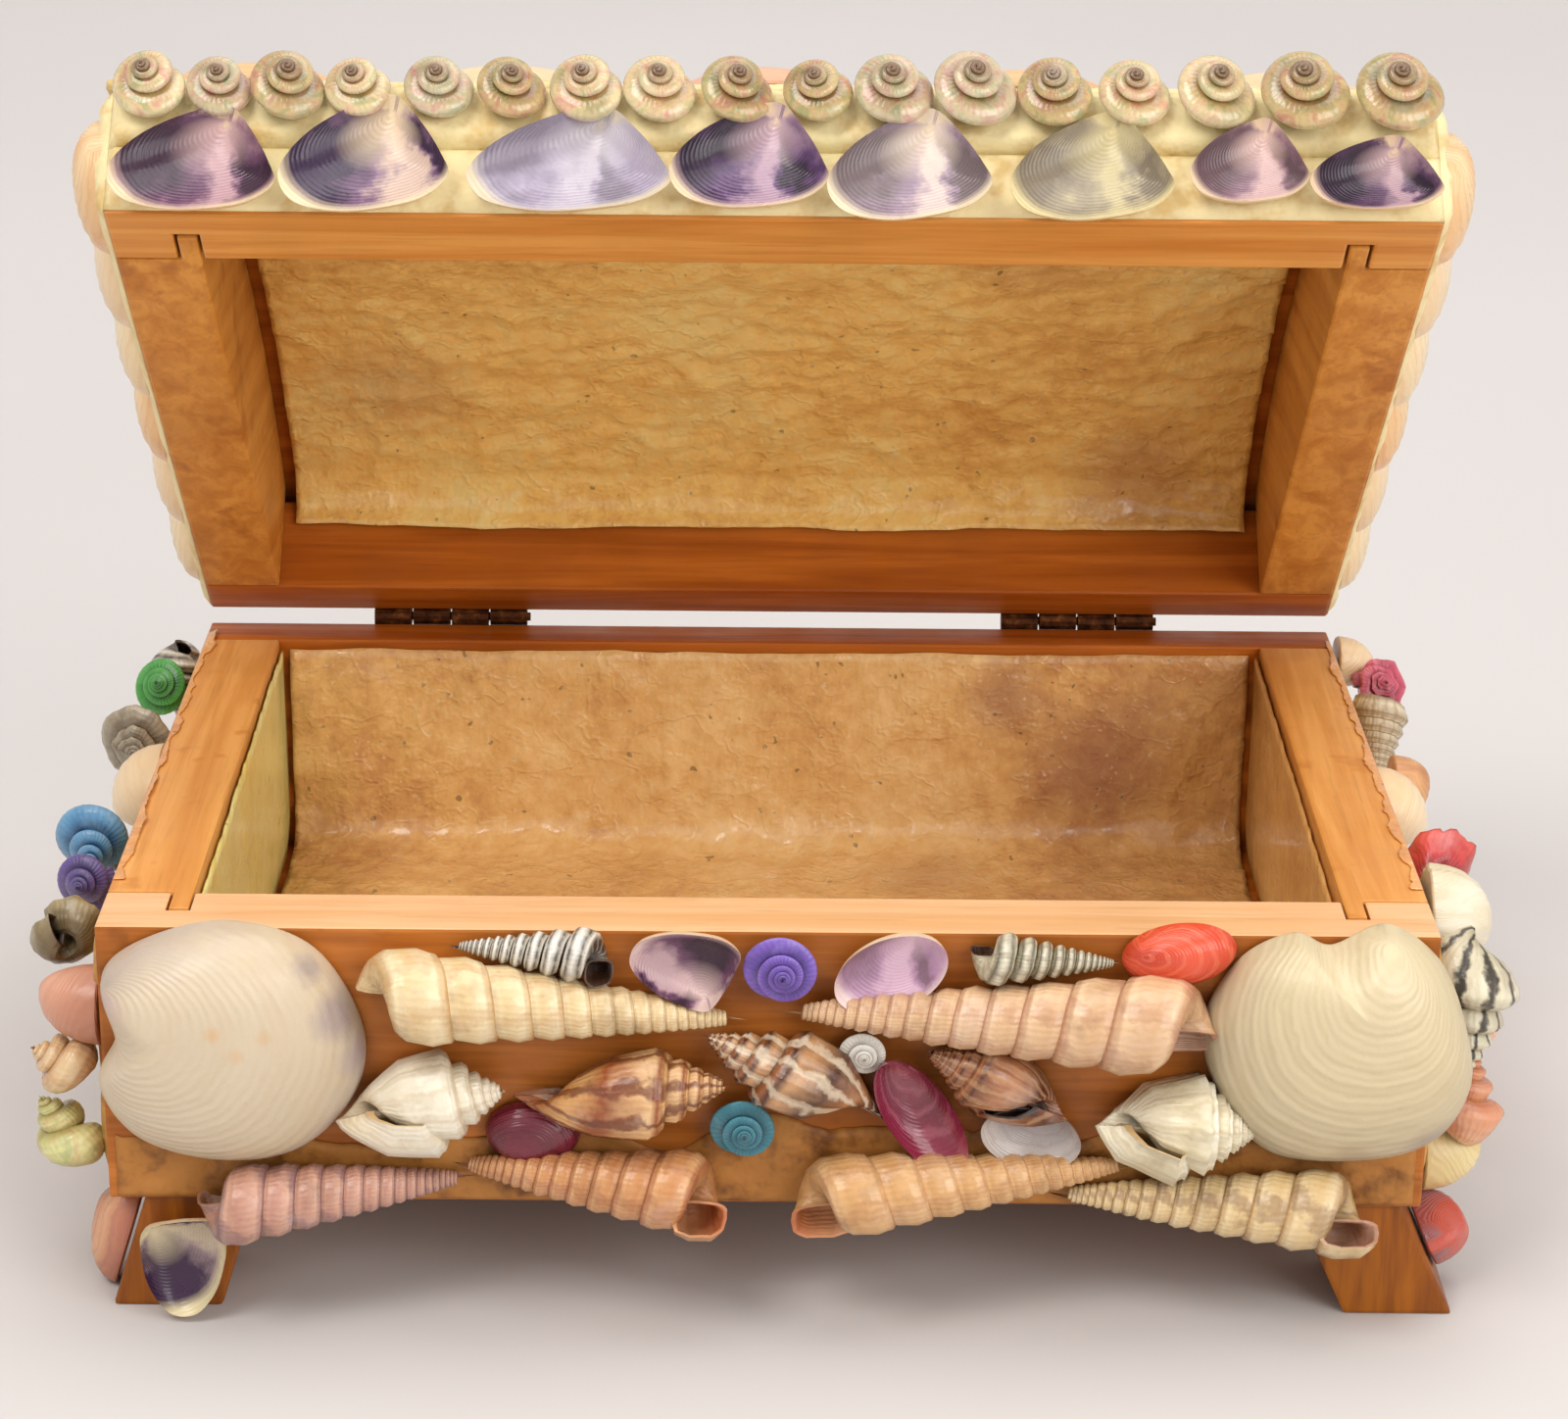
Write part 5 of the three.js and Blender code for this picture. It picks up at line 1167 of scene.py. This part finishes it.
pc = Piece("left_end_shells_set", "box", "left_end_shells", "dyed_shell")
slab(pc, LEFT, -D / 2 + 3, D / 2 - 3, FLOOR + 0.6, H - 0.9, BED_BACK, lumps(0.7, 0.5, 0.35, 2), glue)
small(pc, LEFT, -1, 43.8, 42.2, 4.2, 40.0, 34.0, 3.4, 3.9, bw, La=2.4, step=1.3, turns=9, ribs=(11, 0.07),
    mouth=-60, flat=0.7, fat=0.85, close=0.3)
small(pc, LEFT, -1, 38.4, 39.6, 4.8, 34.8, 41.4, 5.6, 4.7, green, La=3.4, step=1.6, turns=5.5, mouth=-90,
    taper=0.2, close=0.4)
small(pc, LEFT, -1, 24.6, 38.4, 5.4, 18.0, 38.6, 6.4, 6.2, grey_w, La=5.0, mouth=-110, step=1.7, turns=5,
    bulge=2.4, taper=0.6, ribs=(9, 0.08), wobble=0.14, close=0.2)
valve(pc, LEFT, (-8, 38.4, 0.6), (12.4, 10), 170, (cream_v, cream_v), deep=6.4, growth=(7, 0.06))
small(pc, LEFT, -1, -7.0, 39.4, 6.0, -15.0, 38.2, 6.0, 5.6, blue, La=3.4, step=1.7, turns=5, mouth=200,
    cords=(4, 0.04), taper=0.3)
small(pc, LEFT, -1, -20.6, 39.4, 4.8, -25.4, 40.0, 5.6, 4.6, violet, La=3.2, step=1.7, turns=5, mouth=-60,
    cords=(4, 0.04), taper=0.3, close=0.3)
small(pc, LEFT, -1, -35.4, 39.0, 4.8, -30.0, 41.4, 4.8, 5.0, olive_w, La=4.2, step=1.6, turns=5, mouth=150,
    lip=0.1, cr=0.6, taper=0.5, bulge=2.2, ribs=(9, 0.06), close=0.25, wobble=0.12)
valve(pc, LEFT, (41.0, 33.4, 0.5), (9.0, 8.8), 40, (pink_v, pink_v), deep=7.0, growth=(5, 0.05), crown=0.6)
small(pc, LEFT, -1, -41.2, 26.0, 3.6, -41.6, 28.4, 8.6, 5.3, orange_c, inner=pale_in, La=3.0, step=1.9,
    turns=4, mouth=-30, taper=0.4, cords=(0, 0), close=0.3, flat=0.6, post=1.5)
small(pc, LEFT, -1, -41.4, 16.4, 3.6, -41.8, 22.8, 8.0, 5.2, pearl_y, inner=pale_in, La=3.4, step=1.85,
    turns=4.2, mouth=-60, taper=0.4, cords=(0, 0), close=0.3, flat=0.6, post=1.6)
fill_end(pc, LEFT, -1, (cream_v, peach_v, yellow_v, lattice_w))
pc.make()

pc = Piece("right_end_shells_set", "box", "right_end_shells", "dyed_shell")
slab(pc, RIGHT, -D / 2 + 3, D / 2 - 3, FLOOR + 0.6, H - 0.9, BED_BACK, lumps(0.7, 0.5, 0.35, 5), glue)
valve(pc, RIGHT, (43.2, 42.4, 0.8), (8.6, 6.4), 150, (cream_v, cream_v), deep=5.0, growth=(5, 0.03))
small(pc, RIGHT, 1, 39.4, 40.4, 5.4, 36.4, 42.4, 6.2, 4.6, pink_d, La=3.6, step=1.8, turns=4.5,
    ribs=(7, 0.05), knobs=0.12, wobble=0.25, mouth=-90, taper=0.3, close=0.4)
small(pc, RIGHT, 1, 34.0, 39.4, 5.4, 28.2, 29.8, 4.4, 3.5, lattice_w, La=2.0, step=1.2, turns=12,
    ribs=(15, 0.05), knobs=0.05, flat=0.5, fat=0.85, post=1.25, cr=0.56, mouth=-90, taper=0.2)
valve(pc, RIGHT, (12.6, 37.4, 3.6), (8.4, 9.4), 30, (tan_v, tan_v), deep=4.6, growth=(7, 0.06))
valve(pc, RIGHT, (6, 37.8, 0.6), (12.6, 10), 160, (cream_v, cream_v), deep=6.4, growth=(7, 0.06))
small(pc, RIGHT, 1, -15.0, 38.8, 5.4, -8.0, 38.6, 6.2, 5.2, coral_d, La=4.0, step=1.7, turns=5, mouth=170,
    lip=0.12, hand=-1, cr=0.58, taper=0.4, seg=40, cross=24, wobble=0.3, ribs=(7, 0.06), knobs=0.05,
    close=0.18)
valve(pc, RIGHT, (-28.6, 39.0, 1.4), (13, 10.4), 60, (holed, holed), deep=7.0, growth=(5, 0.1), wav=0.3)
small(pc, RIGHT, 1, -39.6, 37.8, 5.0, -40.8, 25.0, 4.6, 5.7, striped, inner=pale_in, La=5.4, step=1.45,
    turns=7, ribs=(9, 0.06), mouth=-100, bulge=2.2, fat=0.85)
valve(pc, RIGHT, (-37.6, 30.6, 4.4), (6, 6.4), 20, (peach_v, peach_v), deep=4.4)
small(pc, RIGHT, 1, -40.6, 21.6, 4.6, -40.6, 29.4, 5.6, 5.0, peach_c, inner=pale_in, La=5.0, step=1.6,
    turns=5, mouth=130, lip=0.14, hand=1, cr=0.6, taper=0.5, close=0.15)
valve(pc, RIGHT, (-38.6, 15.8, 0.8), (9.6, 8.6), 20, (yellow_v, yellow_v), deep=6.6, growth=(7, 0.08))
fill_end(pc, RIGHT, 1, (peach_v, cream_v, tan_v, orange_c))
pc.make()

pc = Piece("back_shells_set", "box", "back_shells", "shell")
slab(pc, BACK, -W / 2 + 4, W / 2 - 4, FLOOR + 0.6, PIN_Z - LEAF_H - 1.4, BED_BACK, lumps(0.7, 0.4, 0.35, 8),
    glue)
for row in range(2):
    for i in range(6):
        valve(pc, BACK, (-W / 2 + 14 + row * 5 + i * 21.6, 19.4 + row * 11.4, 0.4), (16, 11),
            (i * 53 + row * 20) % 40, ((cream_v, peach_v, yellow_v)[(i + row) % 3],) * 2, deep=3.6,
            growth=(8, 0.06), n=48, rings=16, seed=i)
pc.make()

# Shells on the lid
pearls = [
    spiral_mat("pearl_%d" % k, [(0.0, a), (0.16, b), (0.3, c), (0.42, b), (0.5, a)],
        d, 2.0, 0.25, dirt_and_seam_shade=(120, 100, 60), seam_shade=0.5,
               rough=0.18, lines=2, coat=0.8, pearl=1.0, apex=(116, 84, 52), apex_u=3.4)
    for k, (a, b, c, d) in enumerate((
        ((150, 120, 80), (204, 182, 146), (222, 206, 178), (170, 136, 110)),
        ((110, 84, 52), (176, 152, 112), (200, 180, 146), (110, 86, 58)),
        ((128, 106, 76), (188, 170, 144), (212, 198, 178), (136, 114, 100))))
]
pc = Piece("lid_button_row_set", "lid", "lid_button_row", "plaster")


def shoulder(U, V):
    return 1.5 + 1.4 * flat_fbm(U * 0.3, V * 0.3, 6, 4) + np.clip((V - 8.5) * 0.12, 0, 0.8)


slab(pc, LID_FRONT, -W / 2, W / 2, 8.0, 15.4, BED_BACK, shoulder, plaster, 180, 16)
button_x = [-66.6, -59.2, -51.9, -44.6, -36, -28.3, -20.2, -12.4, -4.2, 4.3, 12.3, 20.9, 29.6, 38.1, 46.7, 56,
    66]
button_r = [3.8, 3.4, 3.9, 3.4, 3.6, 3.6, 3.8, 3.8, 3.8, 3.6, 4.1, 4.4, 3.9, 3.8, 4.2, 4.6, 4.6]
kinds = [0, 2, 1, 0, 2, 1, 0, 0, 1, 1, 2, 2, 1, 0, 0, 1, 1]
for i, (x, r_) in enumerate(zip(button_x, button_r)):
    button(pc, LID_FRONT, x, 13.7, 1.3, r_ * 1.22, (pearls[kinds[i]], mouth_painted_shade),
        tilt=((i % 3 - 1) * 0.6, 0.02 * r_), tall=1.05, mouth=70 + (i * 47) % 40, step=1.8, turns=4.6)
pc.make()

pc = Piece("lid_front_clams_set", "lid", "lid_front_clams", "plaster")
slab(pc, LID_FRONT, -W / 2, W / 2, 0.4, 8.3, BED_BACK, lumps(0.7, 0.9, 0.3, 4), plaster, 180, 16)
rays = [
    wedge_in("wedge_lid_1", (66, 24, 58), (214, 178, 176), (120, 76, 108), (240, 214, 176), 0.0),
    wedge_in("wedge_lid_2", (62, 28, 74), (240, 216, 184), (140, 104, 138), (240, 222, 184), 0.03),
    wedge_in("wedge_lid_3", (84, 50, 104), (206, 198, 204), (156, 136, 172), (222, 206, 176), -0.04, 0.7),
    wedge_in("wedge_lid_4", (48, 18, 54), (206, 176, 184), (104, 70, 118), (238, 214, 178), -0.02),
    wedge_in("wedge_lid_5", (70, 34, 74), (240, 222, 204), (150, 120, 156), (242, 224, 190), 0.0, 0.85),
    wedge_in("wedge_lid_6", (100, 80, 92), (210, 196, 150), (160, 144, 128), (226, 208, 160), 0.0, 0.75),
    wedge_in("wedge_lid_7", (76, 36, 66), (232, 200, 190), (140, 100, 126), (242, 216, 180), 0.0, 0.9),
    wedge_in("wedge_lid_8", (50, 20, 54), (210, 178, 180), (106, 72, 108), (242, 214, 180), 0.02),
]
wedges = [(-61.2, 4.3, 17.6, 13.2), (-43.3, 5, 17.8, 14.4), (-21.6, 4.6, 21.4, 13.2), (-2.6, 5.2, 16.7, 13.2),
          (14.1, 4.2, 17.3, 13.6), (33.4, 4.2, 17.2, 13.4), (50.1, 5.1, 12.5, 10.4), (63.5, 3.8, 14, 9.2)]
for k, ((x, h_, w_, t_), mat) in enumerate(zip(wedges, rays)):
    valve(pc, LID_FRONT, (x, h_, 1.35), (w_, t_), -4 + (k * 5) % 7, (mat, cream_out), WEDGE, WEDGE_BEAK, True,
        3.2, n=60, rings=20, crown=0.8, seed=k)
pc.make()

top_v = valve_mat("valve_orange_cream", [(0.0, (236, 190, 140)), (0.5, (246, 218, 176)),
    (1.0, (232, 186, 136))], bands=8, band_col=(220, 160, 110), band_amount=0.35)
pc = Piece("lid_top_valves_set", "lid", "lid_top_valves", "plaster")
X, Y = spread(-W / 2 - 0.8, W / 2 + 0.8, 100, -D / 2 - 0.5, D / 2, 56)
lump = flat_fbm(X * 0.3, Y * 0.3, 12, 4)
F = np.stack([X, Y, under(Y) + ROOF + 0.9 + 0.9 * lump], -1)
B = np.stack([X, Y, under(Y) + ROOF + BED_BACK], -1)
v_, f_, u_ = sheet(in_lid(F), in_lid(B), np.stack([X * GRAIN, Y * GRAIN], -1))
pc.add(v_, f_, u_, plaster)
for row in range(4):
    for i in range(5):
        x = -W / 2 + 14 + i * 28 + (row % 2) * 2
        y = -D / 2 + 11.6 + row * 23.2
        slope = math.atan(-2 * RISE * y / (D / 2) ** 2)
        P = panel([x, y, under(y) + ROOF + 0.7], [1, 0, 0], [0, math.cos(slope), math.sin(slope)], in_lid)
        valve(pc, P, (0, 0, 0), (26, 25), ((i * 47 + row * 31) % 30) - 15,
            ((top_v, cream_v, peach_v)[(i + row) % 3],) * 2, deep=5.2, growth=(12, 0.12), n=48, rings=14,
            seed=i + row * 7)
pc.make()

for name, node, P, dir_, seed in (("lid_left_valves_set", "lid_left_valves", LID_LEFT, -1, 3),
                                  ("lid_right_valves_set", "lid_right_valves", LID_RIGHT, 1, 6)):
    pc = Piece(name, "lid", node, "plaster")
    slab(pc, P, -D / 2, D / 2, 0.4, lambda U: under(U) - LID_Z + ROOF - 0.1, BED_BACK,
        lumps(1.0, 0.7, 0.3, seed), plaster)
    for i in range(6):
        valve(pc, P, (dir_ * (-D / 2 + 8 + i * 15.6), 8.4, 0.5), (15, 15.4), dir_ * (75 - i * 3),
            ((top_v, cream_v, cream_out)[i % 3],) * 2, deep=4.2, growth=(8, 0.1), n=40, rings=14,
            seed=seed + i)
    pc.make()

pc = Piece("lid_back_valves_set", "lid", "lid_back_valves", "plaster")
low = PIN_Z + LEAF_H + 0.6 - LID_Z
slab(pc, LID_BACK, -W / 2, W / 2, low, LID_WALL + ROOF - 0.1, BED_BACK, lumps(1.0, 0.7, 0.3, 9), plaster)
for i in range(7):
    valve(pc, LID_BACK, (-W / 2 + 11 + i * 20, 11.7, 0.5), (18.6, 7.4), (i * 41) % 24,
        ((cream_v, top_v)[i % 2],) * 2, deep=3.0, growth=(7, 0.06), n=48, rings=16, seed=i)
pc.make()

# Floor, backdrop and light
bm = bmesh.new()
prof = [(-3.0, 0.0)] + [(0.9 + 0.9 * math.sin(a), 0.9 - 0.9 * math.cos(a)) for a in np.linspace(0,
    math.pi / 2, 14)] + [(1.8, 3.0)]
rows = [[bm.verts.new((x, y, z)) for y, z in prof] for x in (-3.0, 3.0)]
for a in range(len(prof) - 1):
    bm.faces.new((rows[0][a], rows[1][a], rows[1][a + 1], rows[0][a + 1]))
me = bpy.data.meshes.new("backdrop")
bm.to_mesh(me)
bm.free()
floor = bpy.data.objects.new("backdrop", me)
k = Nodes("pale_paper_floor")
v = k.noise(k.coords(), 3.0, 2.0)
k.finish(k.ramp(v, [(0.3, (205, 200, 198)), (0.7, (210, 206, 204))]), 0.8)
me.materials.append(k.mat)
for p in me.polygons:
    p.use_smooth = True
bpy.context.scene.collection.objects.link(floor)

light_paths = bpy.context.scene.cycles
light_paths.max_bounces, light_paths.diffuse_bounces, light_paths.glossy_bounces = 3, 2, 2
light_paths.caustics_reflective = light_paths.caustics_refractive = False
ROOM_COLOUR, ROOM_LIGHT = (1.0, 0.97, 0.95, 1), 0.57
world = bpy.data.worlds.new("room")
bpy.context.scene.world = world
world.use_nodes = True
world.node_tree.nodes["Background"].inputs[0].default_value = ROOM_COLOUR
world.node_tree.nodes["Background"].inputs[1].default_value = ROOM_LIGHT


def area(name, at_, to, size, power, color=(1, 1, 1)):
    d = bpy.data.lights.new(name, "AREA")
    d.shape = "RECTANGLE"
    d.size, d.size_y = size
    d.energy = power
    d.color = color
    o = bpy.data.objects.new(name, d)
    o.location = at_
    o.rotation_euler = (Vector(to) - Vector(at_)).to_track_quat("-Z", "Y").to_euler()
    bpy.context.scene.collection.objects.link(o)


area("key", (-0.5, -0.6, 1.15), (0, 0, 0.05), (0.55, 0.55), 7, (1.0, 0.97, 0.93))
area("fill", (0.8, -0.9, 0.6), (0, 0, 0.05), (0.8, 0.8), 7.5, (1.0, 0.98, 0.96))
area("top", (0.15, 0.1, 1.4), (0, 0, 0.05), (1.1, 1.1), 9)
area("wall", (0, 0.9, 1.3), (0, 1.7, 0.5), (1.6, 0.8), 5)
